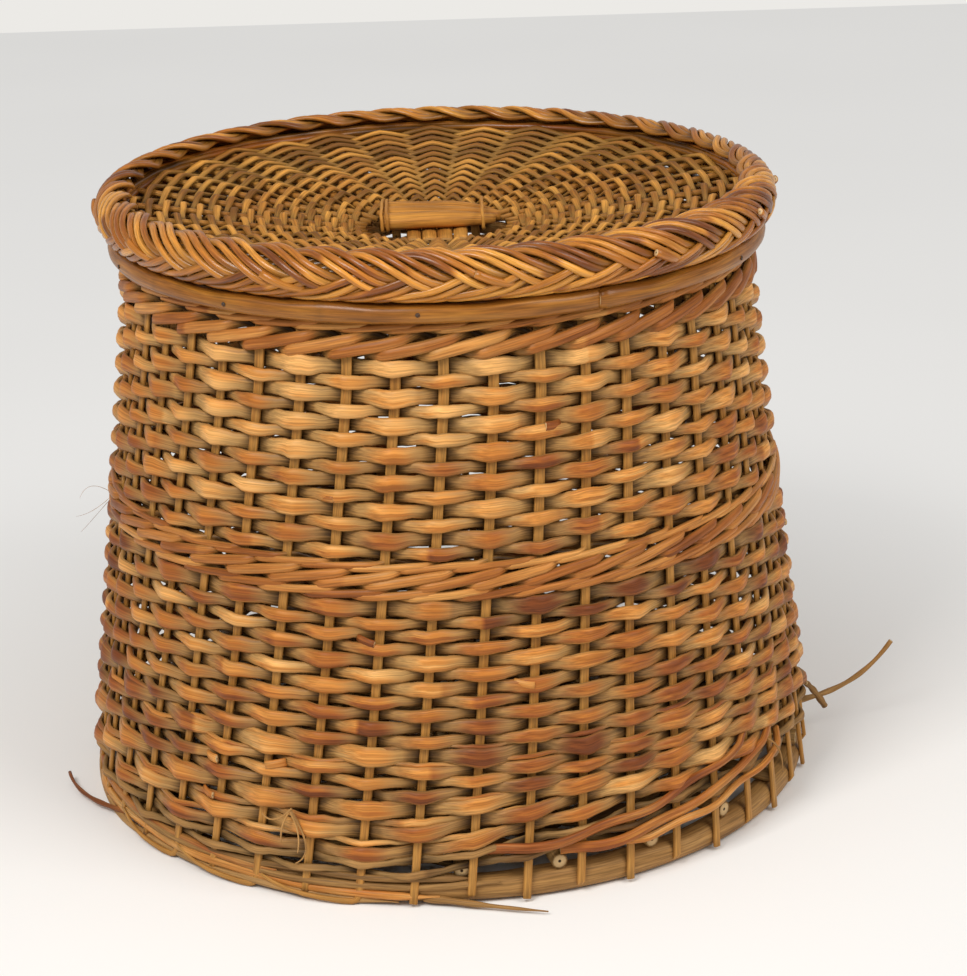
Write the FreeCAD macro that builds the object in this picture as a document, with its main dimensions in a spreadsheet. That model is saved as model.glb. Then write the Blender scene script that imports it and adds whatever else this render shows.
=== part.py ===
import FreeCAD, Part
import Sketcher
import math
import os

# A round willow laundry hamper with a loose lid, in millimetres.
# Origin: on the floor, at the centre of the foot hoop.  +Z is up, the front faces -Y.
# The wall is randed: every weaver goes in front of one stake and behind the next, and the
# row above does the opposite.  The lid is a dished disc woven the same way over radial
# spokes, edged with a plait of three strands.

SIZES = {
    # overall form: the radius of the line that the stakes stand on, and how far the
    # wall has drawn in from it at the belly and at the rim
    "floor_radius": 328.0, "belly_draw": 23.5, "rim_draw": 63.5,
    "belly_height": 170.0, "rim_height": 501.0,
    # stakes, counted in pairs because an over-and-under weave needs an even number
    "stake_pairs": 22, "stake_width": 8.0, "stake_thick": 3.6,
    "stake_top_gap": 1.0, "plain_stake_end": 3.0, "hook_reach": 5.5,
    # woven wall
    "weaver_thick": 7.0, "lower_rows": 18, "upper_rows": 14, "stout_share": 0.57,
    "waist_height": 258.0, "mid_wale_height": 34.0, "top_wale_height": 31.0,
    "wale_thick": 8.5,
    # hoops and nails
    "foot_hoop_height": 22.0, "foot_hoop_depth": 24.0, "foot_hoop_flat": 15.0,
    "rim_hoop_height": 16.7, "rim_hoop_depth": 18.0, "rim_hoop_flat": 11.0,
    "scarf_turn_angle": 4.0, "scarf_place_angle": 24.0, "lining_height": 14.0, "lining_depth": 7.0,
    "nail_every": 2, "nail_width": 2.6, "nail_proud": 0.8,
    # base
    "base_spoke_pairs": 12, "base_spoke_butt": 14.0, "base_spoke_tip": 6.5,
    "base_slath_radius": 62.0, "base_stick_count": 5, "base_stick_width": 10.0,
    "base_stick_thick": 9.0, "base_stick_pitch": 11.5, "base_slath_lap": 4.0,
    "base_weaver_count": 3, "base_weaver_thick": 6.0, "base_weave_inset": 40.0,
    "base_weave_margin": 42.0,
    # lid
    "lid_spoke_pairs": 16, "lid_spoke_width": 7.0, "lid_spoke_thick": 5.0,
    "lid_slath_radius": 62.0, "lid_spoke_overrun": 4.5, "dish_edge": 22.0,
    "dish_sink": 30.0, "lid_weaver_count": 6, "lid_weaver_thick": 6.5,
    "lid_weave_inset": 26.0, "lid_weave_margin": 17.0, "slath_stick_count": 3,
    "slath_stick_width": 20.0, "slath_stick_thick": 14.0, "slath_lap": 5.0,
    "cross_stick_count": 4, "cross_stick_width": 9.0, "cross_stick_thick": 6.0,
    "cross_stick_pitch": 15.0, "binding_place": 42.0, "binding_width": 9.0,
    "binding_thick": 2.6,
    # plaited border, rolled over the edge of the lid
    "plait_repeats": 8, "roll_radius": 17.2, "plait_swing_angle": 78.0, "plait_turn_angle": -15.0,
    "plait_depth": 8.1, "strand_width": 12.2, "strand_thick": 9.0,
    "border_drop": 0.6,
    # rods that have sprung loose: one out of the wall at the right, one along the floor
    "loose_rod_width": 6.0, "whip_reach": 93.0, "whip_rise": 32.0, "whip_turn_angle": 30.0,
    "floor_rod_stake": 25, "floor_rod_reach": 45.0, "floor_rod_turn_angle": 17.0,
    "floor_rod_height": 8.0,
    # fits
    "gap": 0.3, "rod_gap": 0.35,
}

DOC = FreeCAD.newDocument("laundry_hamper")
SHEET = DOC.addObject("Spreadsheet::Sheet", "Sizes")
NODES = []


def fill_sheet():
    """Write every driving size to the spreadsheet, one named cell each."""
    for row, (name, value) in enumerate(SIZES.items(), start=1):
        SHEET.set("A%d" % row, name)
        SHEET.set("B%d" % row, str(value))
        SHEET.setAlias("B%d" % row, name)
    DOC.recompute()


def size(name):
    """Read one driving size back from the spreadsheet."""
    return float(SHEET.get(name))


def count(name):
    """Read a whole-number size from the spreadsheet."""
    return int(round(size(name)))


def stake_count():
    """Number of stakes round the wall."""
    return 2 * count("stake_pairs")


def keep(feature, label):
    """Give a finished sub-part its name and list it for export."""
    feature.Label = label
    NODES.append(feature)
    return feature


# ---------------------------------------------------------------- shared geometry

BELLY_RADIUS = "Sizes.floor_radius - Sizes.belly_draw"


def wall_radius(height):
    """Radius of the stake line at a height: two straight runs that meet at the belly."""
    if height <= size("belly_height"):
        return size("floor_radius") - size("belly_draw") * height / size("belly_height")
    share = (height - size("belly_height")) / (size("rim_height") - size("belly_height"))
    drawn = size("belly_draw") + (size("rim_draw") - size("belly_draw")) * share
    return size("floor_radius") - drawn


def wall_formula(height):
    """The same line as an expression, for sketches.  height is an expression above the belly."""
    return (BELLY_RADIUS + " - (Sizes.rim_draw - Sizes.belly_draw) * "
            "((%s) - Sizes.belly_height) / (Sizes.rim_height - Sizes.belly_height)" % height)


def foot_formula(height):
    """The stake line below the belly, as an expression."""
    return "Sizes.floor_radius - Sizes.belly_draw * (%s) / Sizes.belly_height" % height


def at(radius, angle, height):
    """A point from its radius, angle in radians and height."""
    return FreeCAD.Vector(radius * math.cos(angle), radius * math.sin(angle), height)


def solid_from_facets(points, facets):
    """A closed solid from shared corner points and triangles, with flat faces merged."""
    shell = Part.Shape()
    shell.makeShapeFromMesh((points, facets), 0.0005)
    return Part.Solid(Part.Shell(shell.Faces)).removeSplitter()


def first_is_deeper(points, corners):
    """Whether a crease from the first of four corners lies deeper in than the other one."""
    a, b, c, d = [points[corner] for corner in corners]
    return (a + c - b - d).dot((c - a).cross(d - b)) < 0


def fold(corners, from_first):
    """Two triangles over four corners in outward order, creased along one diagonal."""
    i, j, k, m = corners
    if from_first:
        return [(i, j, k), (i, k, m)]
    return [(j, k, m), (j, m, i)]


def skin(points, around, closed, turning=()):
    """Join neighbouring sections, each of as many corners as said, with triangles.

    Creases lie deep, to keep clear of what the piece passes.  In the spans named as turning
    the piece turns over and deep creases would meet across it, so there they zigzag.
    """
    number = len(points) // around
    facets = []
    for i in range(number if closed else number - 1):
        here, there = i * around, (i + 1) % number * around
        for j in range(around):
            k = (j + 1) % around
            corners = (here + j, there + j, there + k, here + k)
            zigzag = i in turning
            facets += fold(corners, j % 2 == 1 if zigzag else first_is_deeper(points, corners))
    return facets


def ring_solid(sections, turning=()):
    """A solid that closes on itself through its sections."""
    points = [p for section in sections for p in section]
    return solid_from_facets(points, skin(points, len(sections[0]), True, turning))


def rod_solid(sections):
    """A solid with two capped ends."""
    points = [p for section in sections for p in section]
    corners = len(sections[0])
    facets = skin(points, corners, False)
    tail = len(points) - corners
    for j in range(1, corners - 1):
        facets.append((0, j, j + 1))
        facets.append((tail, tail + j + 1, tail + j))
    return solid_from_facets(points, facets)


def add_shape(label, shape):
    """A sub-part whose shape is worked out from the sheet."""
    feature = DOC.addObject("Part::Feature", label)
    feature.Shape = shape
    feature.Placement = FreeCAD.Placement()
    return keep(feature, label)


def closed_sketch(body, plane, corners, name):
    """A closed outline on one of the body's own planes, each corner held by two expressions."""
    sketch = body.newObject("Sketcher::SketchObject", name)
    origin = [f for f in body.Origin.OriginFeatures if f.Role == plane][0]
    sketch.AttachmentSupport = (origin, "")
    sketch.MapMode = "FlatFace"
    guess = [(float(i), float(i * i)) for i in range(len(corners))]
    for i, (x, y) in enumerate(guess):
        end = guess[(i + 1) % len(guess)]
        sketch.addGeometry(Part.LineSegment(FreeCAD.Vector(x, y, 0), FreeCAD.Vector(end[0], end[1], 0)))
    for i in range(len(corners)):
        sketch.addConstraint(Sketcher.Constraint("Coincident", i, 2, (i + 1) % len(corners), 1))
    for i, (across, up) in enumerate(corners):
        for kind, formula in (("DistanceX", across), ("DistanceY", up)):
            index = sketch.addConstraint(Sketcher.Constraint(kind, -1, 1, i, 1, 1.0))
            sketch.setExpression("Constraints[%d]" % index, formula)
    return sketch


def pad_both_ways(body, sketch, width, name):
    """Pad a sketch evenly to both sides of its plane."""
    pad = body.newObject("PartDesign::Pad", name)
    pad.Profile = sketch
    pad.Midplane = True
    pad.setExpression("Length", width)
    return pad


def spread_round(body, feature, number, name):
    """Repeat a feature evenly round the upright axis and make the pattern the body's tip."""
    pattern = body.newObject("PartDesign::PolarPattern", name)
    pattern.Originals = [feature]
    axis = [f for f in body.Origin.OriginFeatures if f.Role == "Z_Axis"][0]
    pattern.Axis = (axis, [""])
    pattern.Angle = 360.0
    pattern.setExpression("Occurrences", number)
    body.Tip = pattern
    return pattern


# ---------------------------------------------------------------- stakes

def stakes(label, corners, turn):
    """Half of the flat stakes, as one polar pattern of separate strips."""
    body = DOC.addObject("PartDesign::Body", label + "_body")
    profile = closed_sketch(body, "XZ_Plane", corners, label + "_profile")
    strip = pad_both_ways(body, profile, "Sizes.stake_width", label + "_strip")
    DOC.recompute()
    spread_round(body, strip, "Sizes.stake_pairs", label + "_round")
    body.setExpression("Placement.Rotation.Angle", turn)
    return keep(body, label)


def stake_corner(formula, height, side):
    """A corner of a stake's side view: half its thickness in or out from the stake line."""
    return "%s %s Sizes.stake_thick / 2" % (formula, side), height


def build_plain_stakes():
    """Stakes cut off just above the floor."""
    top, foot = "Sizes.rim_height - Sizes.stake_top_gap", "Sizes.plain_stake_end"
    corners = [
        stake_corner(foot_formula(foot), foot, "+"),
        stake_corner(BELLY_RADIUS, "Sizes.belly_height", "+"),
        stake_corner(wall_formula(top), top, "+"),
        stake_corner(wall_formula(top), top, "-"),
        stake_corner(BELLY_RADIUS, "Sizes.belly_height", "-"),
        stake_corner(foot_formula(foot), foot, "-"),
    ]
    return stakes("plain_stakes", corners, "180 / Sizes.stake_pairs")


def build_hooked_stakes():
    """Stakes whose feet are bent in under the foot hoop and run out to a point."""
    top, bend = "Sizes.rim_height - Sizes.stake_top_gap", "Sizes.foot_hoop_height / 2"
    slope = "%s / (Sizes.foot_hoop_depth - Sizes.foot_hoop_flat)" % bend
    corners = [
        stake_corner(foot_formula(bend), bend, "+"),
        stake_corner(BELLY_RADIUS, "Sizes.belly_height", "+"),
        stake_corner(wall_formula(top), top, "+"),
        stake_corner(wall_formula(top), top, "-"),
        stake_corner(BELLY_RADIUS, "Sizes.belly_height", "-"),
        stake_corner(foot_formula(bend), bend, "-"),
        ("%s - Sizes.stake_thick / 2 - Sizes.hook_reach" % foot_formula(bend),
         "%s - Sizes.hook_reach * %s" % (bend, slope)),
    ]
    return stakes("hooked_stakes", corners, "0")


# ---------------------------------------------------------------- woven wall

def weave_offsets(height, thick):
    """How far a weaver's flat back stands outside and inside the stake line.

    The weaver runs straight from stake to stake, so it needs room at each stake's edges:
    the offset at the stake's middle is the clearance plus what the run falls over half
    the stake's width.
    """
    pitch_angle = 2 * math.pi / stake_count()
    pitch = wall_radius(height) * math.sin(pitch_angle)
    chord_fall = wall_radius(height) * (1 - math.cos(pitch_angle))
    swing = (size("stake_thick") + thick + 2 * size("gap")) / (1 - size("stake_width") / pitch)
    half = size("stake_width") / 2 / pitch
    front = size("stake_thick") / 2 + size("gap") + half * (swing + chord_fall)
    behind = size("stake_thick") / 2 + size("gap") + half * (swing - chord_fall) + thick
    return front, -behind


def bend_between(low, high):
    """How far the stakes' bend at the belly stands outside a straight run between two heights."""
    belly = min(max(size("belly_height"), low), high)
    share = (belly - low) / (high - low)
    straight = wall_radius(low) + share * (wall_radius(high) - wall_radius(low))
    return wall_radius(belly) - straight


def weaver_ring(low, high, thick, phase):
    """One weaver: a split rod with a flat back and a ridged face, over one and under one."""
    sections = []
    heights = (low, (low + high) / 2, high)
    bend = bend_between(low, high)
    for i in range(stake_count()):
        angle = 2 * math.pi * i / stake_count()
        in_front = (i + phase) % 2 == 0
        corners = []
        for height, face in zip(heights, (0.0, thick, 0.0)):
            front, behind = weave_offsets(height, thick)
            radius = wall_radius(height) + face
            radius += front + max(bend, 0) if in_front else behind + min(bend, 0)
            corners.append(at(radius, angle, height))
        sections.append(corners)
    return ring_solid(sections)


def row_bounds(rows, low, high):
    """The foot and top of each row in a panel, slim and stout rods in turn."""
    weights = [size("stout_share") if i % 2 else 1 - size("stout_share") for i in range(rows)]
    unit = (high - low) / sum(weights)
    bounds = []
    for weight in weights:
        bounds.append((low, low + weight * unit - size("rod_gap")))
        low += weight * unit
    return bounds


def weave_foot():
    """Height of the first row: it lies on the butts of the base spokes."""
    return size("foot_hoop_height") + size("base_spoke_butt") + 2 * size("gap")


def build_panel(first, phase, rows, low, high):
    """The rows of one panel, each a weaver of its own."""
    for i, (foot, top) in enumerate(row_bounds(rows, low, high)):
        shape = weaver_ring(foot, top, size("weaver_thick"), phase + i)
        add_shape("weaver_row_%02d" % (first + i + 1), shape)


def build_wall():
    """The lower panel, the waist wale, the upper panel and the wale under the rim."""
    lower, upper = count("lower_rows"), count("upper_rows")
    build_panel(0, 0, lower, weave_foot(), size("waist_height"))
    waist_top = size("waist_height") + size("mid_wale_height")
    mid = weaver_ring(size("waist_height"), waist_top - size("rod_gap"), size("wale_thick"), lower)
    add_shape("mid_wale", mid)
    hoop_foot = size("rim_height") - size("rim_hoop_height")
    shoulder = hoop_foot - size("top_wale_height")
    build_panel(lower, lower + 1, upper, waist_top, shoulder)
    last = lower + 1 + upper
    top = weaver_ring(shoulder, hoop_foot - size("gap"), size("wale_thick"), last)
    add_shape("top_wale", top)


# ---------------------------------------------------------------- hoops and nails

def cane_section(inner, low, depth, height, flat, angle, shear=0.0):
    """A half-round cane in five corners: flat inside, underneath and on top, ridged outside."""
    corners = []
    for out, up in ((0, 0), (flat, 0), (depth, 0.5), (flat, 1), (0, 1)):
        corners.append(at(inner + out, angle + shear * out / depth, low + up * height))
    return corners


def hoop_angles():
    """Corners of a hoop, halfway between the stakes, so that its flats face them."""
    return [2 * math.pi * (i + 0.5) / stake_count() for i in range(stake_count())]


def corner_radius(flat_radius):
    """Radius at the corners of a hoop whose straight runs stand at flat_radius."""
    return flat_radius / math.cos(math.pi / stake_count())


def build_foot_hoop():
    """A stout cane that the hamper stands on, inside the feet of the stakes."""
    height, depth, flat = size("foot_hoop_height"), size("foot_hoop_depth"), size("foot_hoop_flat")
    ridge = wall_radius(height / 2) - size("stake_thick") / 2 - size("gap")
    inner = corner_radius(ridge) - depth
    sections = [cane_section(inner, 0.0, depth, height, flat, angle) for angle in hoop_angles()]
    return add_shape("foot_hoop", ring_solid(sections))


def rim_hoop_inside():
    """Radius at the corners of the rim hoop's flat inner side, just outside the stakes."""
    foot = size("rim_height") - size("rim_hoop_height")
    return corner_radius(wall_radius(foot) + size("stake_thick") / 2 + size("gap"))


def build_rim_hoop():
    """A cane round the outside of the stake tops, closed with a long slanted scarf."""
    height, depth, flat = size("rim_hoop_height"), size("rim_hoop_depth"), size("rim_hoop_flat")
    low, inner = size("rim_height") - height, rim_hoop_inside()
    joint = math.radians(size("scarf_place_angle")) - math.pi / 2
    start = min(hoop_angles(), key=lambda angle: abs(math.remainder(angle - joint, math.tau)))
    turn, shear = math.tau / stake_count(), math.radians(size("scarf_turn_angle"))
    places = [(start + turn * i, 0.0) for i in range(1, stake_count())]
    slit = size("gap") / inner
    places = [(start, shear)] + places + [(start + math.tau - slit, shear)]
    sections = [cane_section(inner, low, depth, height, flat, angle, lean) for angle, lean in places]
    return add_shape("rim_hoop", rod_solid(sections))


def lining_outside():
    """Radius of the flat face of the inner hoop, against the inside of the stake tops."""
    return wall_radius(size("rim_height") - size("gap")) - size("stake_thick") / 2 - size("gap")


def build_rim_lining():
    """A split cane inside the stake tops, flat side out, level with the rim."""
    high = size("rim_height") - size("gap")
    low = high - size("lining_height")
    face = corner_radius(lining_outside())
    ridge = face - size("lining_depth")
    sections = [[at(face, a, low), at(face, a, high), at(ridge, a, (low + high) / 2)]
                for a in hoop_angles()]
    return add_shape("rim_lining", ring_solid(sections))


def build_rim_nails():
    """Square cut nails through both hoops, midway between stakes."""
    body = DOC.addObject("PartDesign::Body", "rim_nails_body")
    middle = "Sizes.rim_height - Sizes.rim_hoop_height / 2"
    half, skirt = "Sizes.nail_width / 2", "Sizes.stake_thick / 2 + Sizes.gap"
    inner = "%s - (%s) - Sizes.lining_depth / 2" % (wall_formula("Sizes.rim_height"), skirt)
    stakes_outside = "%s + %s" % (wall_formula("Sizes.rim_height - Sizes.rim_hoop_height"), skirt)
    outer = ("(%s) / cos(90 deg / Sizes.stake_pairs) + Sizes.rim_hoop_depth + Sizes.nail_proud"
             % stakes_outside)
    corners = [(inner, "%s - %s" % (middle, half)), (outer, "%s - %s" % (middle, half)),
               (outer, "%s + %s" % (middle, half)), (inner, "%s + %s" % (middle, half))]
    profile = closed_sketch(body, "XZ_Plane", corners, "nail_profile")
    shank = pad_both_ways(body, profile, "Sizes.nail_width", "nail_shank")
    DOC.recompute()
    pattern = spread_round(body, shank, "floor(Sizes.stake_pairs / Sizes.nail_every)", "nail_round")
    pattern.Mode = "Spacing"
    pattern.setExpression("Offset", "Sizes.nail_every * 360 deg / Sizes.stake_pairs")
    body.setExpression("Placement.Rotation.Angle", "90 / Sizes.stake_pairs")
    return keep(body, "rim_nails")


# ---------------------------------------------------------------- base

def base_middle():
    """Height of the base spokes' centre line, with their butts lying on the foot hoop."""
    return size("foot_hoop_height") + size("gap") + size("base_spoke_butt") / 2


def base_reach():
    """Radius of the spokes' outer ends, just inside the stakes above and below."""
    narrowest = min(wall_radius(size("foot_hoop_height")), wall_radius(weave_foot()))
    return narrowest - size("stake_thick") / 2 - size("gap")


def base_reach_formula():
    """The same radius as an expression."""
    top = "Sizes.foot_hoop_height + Sizes.base_spoke_butt + 2 * Sizes.gap"
    narrowest = "min(%s; %s)" % (foot_formula("Sizes.foot_hoop_height"), foot_formula(top))
    return "(%s - Sizes.stake_thick / 2 - Sizes.gap)" % narrowest


def build_base_spokes():
    """Tapered square sticks from the slath to the foot, butts outwards."""
    body = DOC.addObject("PartDesign::Body", "base_spokes_body")
    middle = "Sizes.foot_hoop_height + Sizes.gap + Sizes.base_spoke_butt / 2"
    spoke = body.newObject("PartDesign::AdditiveWedge", "base_spoke")
    spoke.setExpression("Ymin", "Sizes.base_slath_radius")
    spoke.setExpression("Ymax", base_reach_formula())
    for sides, side in (("X%s", "Sizes.base_spoke_tip / 2"), ("X2%s", "Sizes.base_spoke_butt / 2")):
        spoke.setExpression(sides % "min", "-%s" % side)
        spoke.setExpression(sides % "max", side)
    for sides, side in (("Z%s", "Sizes.base_spoke_tip / 2"), ("Z2%s", "Sizes.base_spoke_butt / 2")):
        spoke.setExpression(sides % "min", "%s - %s" % (middle, side))
        spoke.setExpression(sides % "max", "%s + %s" % (middle, side))
    DOC.recompute()
    spread_round(body, spoke, "2 * Sizes.base_spoke_pairs", "base_spoke_round")
    body.Placement.Rotation = FreeCAD.Rotation(FreeCAD.Vector(0, 0, 1), -90)
    return keep(body, "base_spokes")


def stick_layer(label, outline, half_length, number, pitch, turn):
    """Parallel sticks side by side: one padded along X, then repeated across."""
    body = DOC.addObject("PartDesign::Body", label + "_body")
    profile = closed_sketch(body, "YZ_Plane", outline, label + "_profile")
    stick = pad_both_ways(body, profile, "2 * (%s)" % half_length, label + "_stick")
    DOC.recompute()
    pattern = body.newObject("PartDesign::LinearPattern", label + "_row")
    pattern.Originals = [stick]
    axis = [f for f in body.Origin.OriginFeatures if f.Role == "Y_Axis"][0]
    pattern.Direction = (axis, [""])
    pattern.setExpression("Length", "(%s - 1) * %s" % (number, pitch))
    pattern.setExpression("Occurrences", number)
    body.Tip = pattern
    body.setExpression("Placement.Rotation.Angle", turn)
    return keep(body, label)


def flat_stick_outline(number, pitch, width, low, high):
    """Section of the first stick of a layer that is centred on the axis."""
    side = "-(%s - 1) * %s / 2" % (number, pitch)
    left, right = "%s - %s / 2" % (side, width), "%s + %s / 2" % (side, width)
    return [(left, low), (right, low), (right, high), (left, high)]


def round_stick_outline(number, pitch, width, low, high):
    """The same for a stout stick with its edges taken off."""
    side = "-(%s - 1) * %s / 2" % (number, pitch)
    middle = "(%s + %s) / 2" % (low, high)
    return [("%s - %s / 4" % (side, width), low), ("%s + %s / 4" % (side, width), low),
            ("%s + %s / 2" % (side, width), middle), ("%s + %s / 4" % (side, width), high),
            ("%s - %s / 4" % (side, width), high), ("%s - %s / 2" % (side, width), middle)]


def corner_reach(radius, number, pitch, width):
    """Half length that keeps the ends of a layer of sticks inside a circle."""
    side = "((%s - 1) * %s + %s) / 2" % (number, pitch, width)
    return "sqrt((%s) ^ 2 - (%s) ^ 2)" % (radius, side)


def build_base_slath():
    """Two layers of sticks crossed at the middle of the base, the upper lapping the spokes."""
    number, pitch = "Sizes.base_stick_count", "Sizes.base_stick_pitch"
    width, thick = "Sizes.base_stick_width", "Sizes.base_stick_thick"
    grown = ("(Sizes.base_spoke_butt - Sizes.base_spoke_tip) * Sizes.base_slath_lap / "
             "(%s - Sizes.base_slath_radius)" % base_reach_formula())
    top = ("(Sizes.foot_hoop_height + Sizes.gap + Sizes.base_spoke_butt / 2 + "
           "(Sizes.base_spoke_tip + %s) / 2)" % grown)
    under = flat_stick_outline(number, pitch, width, "%s - %s" % (top, thick), top)
    stick_layer("base_cross_sticks", under,
                corner_reach("Sizes.base_slath_radius - Sizes.gap", number, pitch, width),
                number, pitch, "90")
    foot = "(%s + Sizes.gap)" % top
    over = flat_stick_outline(number, pitch, width, foot, "%s + %s" % (foot, thick))
    stick_layer("base_slath_sticks", over, "Sizes.base_slath_radius + Sizes.base_slath_lap",
                number, pitch, "0")


def disc_weaver(inner, outer, thick, spokes, phase, middle, spoke_width, spoke_thick):
    """A flat-woven ring over one spoke and under the next.

    middle, spoke_width and spoke_thick are functions of radius.  The rod is flat below and
    ridged above.
    """
    turn = 2 * math.pi / spokes
    sections = []
    for i in range(spokes):
        over = (i + phase) % 2 == 0
        corners = []
        for radius, face in ((inner, 0.0), (outer, 0.0), ((inner + outer) / 2, thick)):
            pitch = radius * math.sin(turn)
            swing = (spoke_thick(radius) + thick + 2 * size("gap")) / (1 - spoke_width(radius) / pitch)
            lift = spoke_thick(radius) / 2 + size("gap") + spoke_width(radius) / 2 / pitch * swing
            height = middle(radius) + (lift if over else -lift - thick) + face
            corners.append(at(radius, i * turn, height))
        sections.append(corners)
    return ring_solid(sections)


def ring_edges(number, start, end):
    """Inner and outer radius of each ring of a disc."""
    pitch = (end - start) / number
    return [(start + i * pitch, start + (i + 1) * pitch - size("rod_gap")) for i in range(number)]


def build_base_weavers():
    """The woven rings of the base."""
    start, reach = size("base_slath_radius"), base_reach()
    grow = (size("base_spoke_butt") - size("base_spoke_tip")) / (reach - start)

    def side(radius):
        return size("base_spoke_tip") + grow * (radius - start)

    edges = ring_edges(count("base_weaver_count"), start + size("base_weave_inset"),
                       reach - size("base_weave_margin"))
    rings = [disc_weaver(inner, outer, size("base_weaver_thick"), 2 * count("base_spoke_pairs"), i,
                         lambda radius: base_middle(), side, side)
             for i, (inner, outer) in enumerate(edges)]
    return add_shape("base_weavers", Part.makeCompound(rings))


# ---------------------------------------------------------------- lid

def border_radius():
    """Radius of the middle of the rolled border: over the flat top of the rim hoop."""
    return rim_hoop_inside() + size("rim_hoop_flat") / 2


def spoke_reach():
    """Radius at which the lid spokes end, within the hollow of the border."""
    return border_radius() + size("lid_spoke_overrun")


def spoke_reach_formula():
    """The same radius as an expression."""
    hoop_foot = wall_formula("Sizes.rim_height - Sizes.rim_hoop_height")
    hoop_inside = "(%s + Sizes.stake_thick / 2 + Sizes.gap) / cos(90 deg / Sizes.stake_pairs)"
    return "(%s + Sizes.rim_hoop_flat / 2 + Sizes.lid_spoke_overrun)" % (hoop_inside % hoop_foot)


def dish_height(radius):
    """Height of the lid spokes' centre line: the disc sinks towards the slath."""
    share = (spoke_reach() - radius) / (spoke_reach() - size("lid_slath_radius"))
    return size("rim_height") + size("dish_edge") - size("dish_sink") * share


def build_lid_spokes():
    """Flat sticks that rise from the slath to the border."""
    body = DOC.addObject("PartDesign::Body", "lid_spokes_body")
    half = "Sizes.lid_spoke_thick / 2"
    start, end = "Sizes.lid_slath_radius", spoke_reach_formula()
    high = "Sizes.rim_height + Sizes.dish_edge"
    low = "%s - Sizes.dish_sink" % high
    corners = [(start, "%s - %s" % (low, half)), (end, "%s - %s" % (high, half)),
               (end, "%s + %s" % (high, half)), (start, "%s + %s" % (low, half))]
    profile = closed_sketch(body, "XZ_Plane", corners, "lid_spoke_profile")
    spoke = pad_both_ways(body, profile, "Sizes.lid_spoke_width", "lid_spoke")
    DOC.recompute()
    spread_round(body, spoke, "2 * Sizes.lid_spoke_pairs", "lid_spoke_round")
    return keep(body, "lid_spokes")


def slath_foot_formula():
    """Underside of the stout slath sticks, whose corners lap furthest over the spokes."""
    half_width = "(Sizes.slath_stick_count * (Sizes.slath_stick_width + Sizes.gap) / 2)"
    corner = "sqrt((Sizes.lid_slath_radius + Sizes.slath_lap) ^ 2 + %s ^ 2)" % half_width
    rise = ("Sizes.dish_sink * (%s - Sizes.lid_slath_radius) / (%s - Sizes.lid_slath_radius)"
            % (corner, spoke_reach_formula()))
    floor = "Sizes.rim_height + Sizes.dish_edge - Sizes.dish_sink"
    return "(%s + %s + Sizes.lid_spoke_thick / 2 + Sizes.gap)" % (floor, rise)


def build_lid_slath():
    """Three stout sticks on top of four cross sticks."""
    number, pitch = "Sizes.slath_stick_count", "(Sizes.slath_stick_width + Sizes.gap)"
    width, foot = "Sizes.slath_stick_width", slath_foot_formula()
    stout = round_stick_outline(number, pitch, width, foot, "(%s + Sizes.slath_stick_thick)" % foot)
    stick_layer("lid_slath_sticks", stout, "Sizes.lid_slath_radius + Sizes.slath_lap",
                number, pitch, "0")
    number, pitch, width = "Sizes.cross_stick_count", "Sizes.cross_stick_pitch", "Sizes.cross_stick_width"
    top = "(%s - Sizes.gap)" % foot
    under = flat_stick_outline(number, pitch, width, "%s - Sizes.cross_stick_thick" % top, top)
    stick_layer("lid_cross_sticks", under,
                corner_reach("Sizes.lid_slath_radius - Sizes.gap", number, pitch, width),
                number, pitch, "90")


def box_about(name, half_x, half_y, low, high, place):
    """A block centred across the lid at a distance along X, with sizes from expressions."""
    box = DOC.addObject("Part::Box", name)
    box.setExpression("Length", "2 * (%s)" % half_x)
    box.setExpression("Width", "2 * (%s)" % half_y)
    box.setExpression("Height", "(%s) - (%s)" % (high, low))
    box.setExpression("Placement.Base.x", "(%s) - (%s)" % (place, half_x))
    box.setExpression("Placement.Base.y", "-(%s)" % half_y)
    box.setExpression("Placement.Base.z", low)
    return box


def build_binding(label, place):
    """A flat strip bound once round the three stout sticks."""
    foot = slath_foot_formula()
    low, high = "%s - Sizes.gap" % foot, "%s + Sizes.slath_stick_thick + Sizes.gap" % foot
    side = ("Sizes.slath_stick_count * (Sizes.slath_stick_width + Sizes.gap) / 2 + Sizes.gap / 2")
    strip = "Sizes.binding_thick"
    outer = box_about(label + "_outside", "Sizes.binding_width / 2", "%s + %s" % (side, strip),
                      "%s - %s" % (low, strip), "%s + %s" % (high, strip), place)
    inner = box_about(label + "_inside", "Sizes.binding_width", side, low, high, place)
    loop = DOC.addObject("Part::Cut", label + "_loop")
    loop.Base = outer
    loop.Tool = inner
    return loop


def build_bindings():
    """The bindings at both ends of the slath."""
    loops = [build_binding("left_binding", "-Sizes.binding_place"),
             build_binding("right_binding", "Sizes.binding_place")]
    both = DOC.addObject("Part::Compound", "lid_bindings")
    both.Links = loops
    return keep(both, "lid_bindings")


def build_lid_weavers():
    """The woven rings of the lid, each a node of its own."""
    edges = ring_edges(count("lid_weaver_count"), size("lid_slath_radius") + size("lid_weave_inset"),
                       spoke_reach() - size("lid_weave_margin"))
    for i, (inner, outer) in enumerate(edges):
        ring = disc_weaver(inner, outer, size("lid_weaver_thick"), 2 * count("lid_spoke_pairs"), i,
                           dish_height, lambda radius: size("lid_spoke_width"),
                           lambda radius: size("lid_spoke_thick"))
        add_shape("lid_weaver_%d" % (i + 1), ring)


# ---------------------------------------------------------------- plaited border

STRANDS = 3
STATIONS_PER_REPEAT = 6


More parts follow.
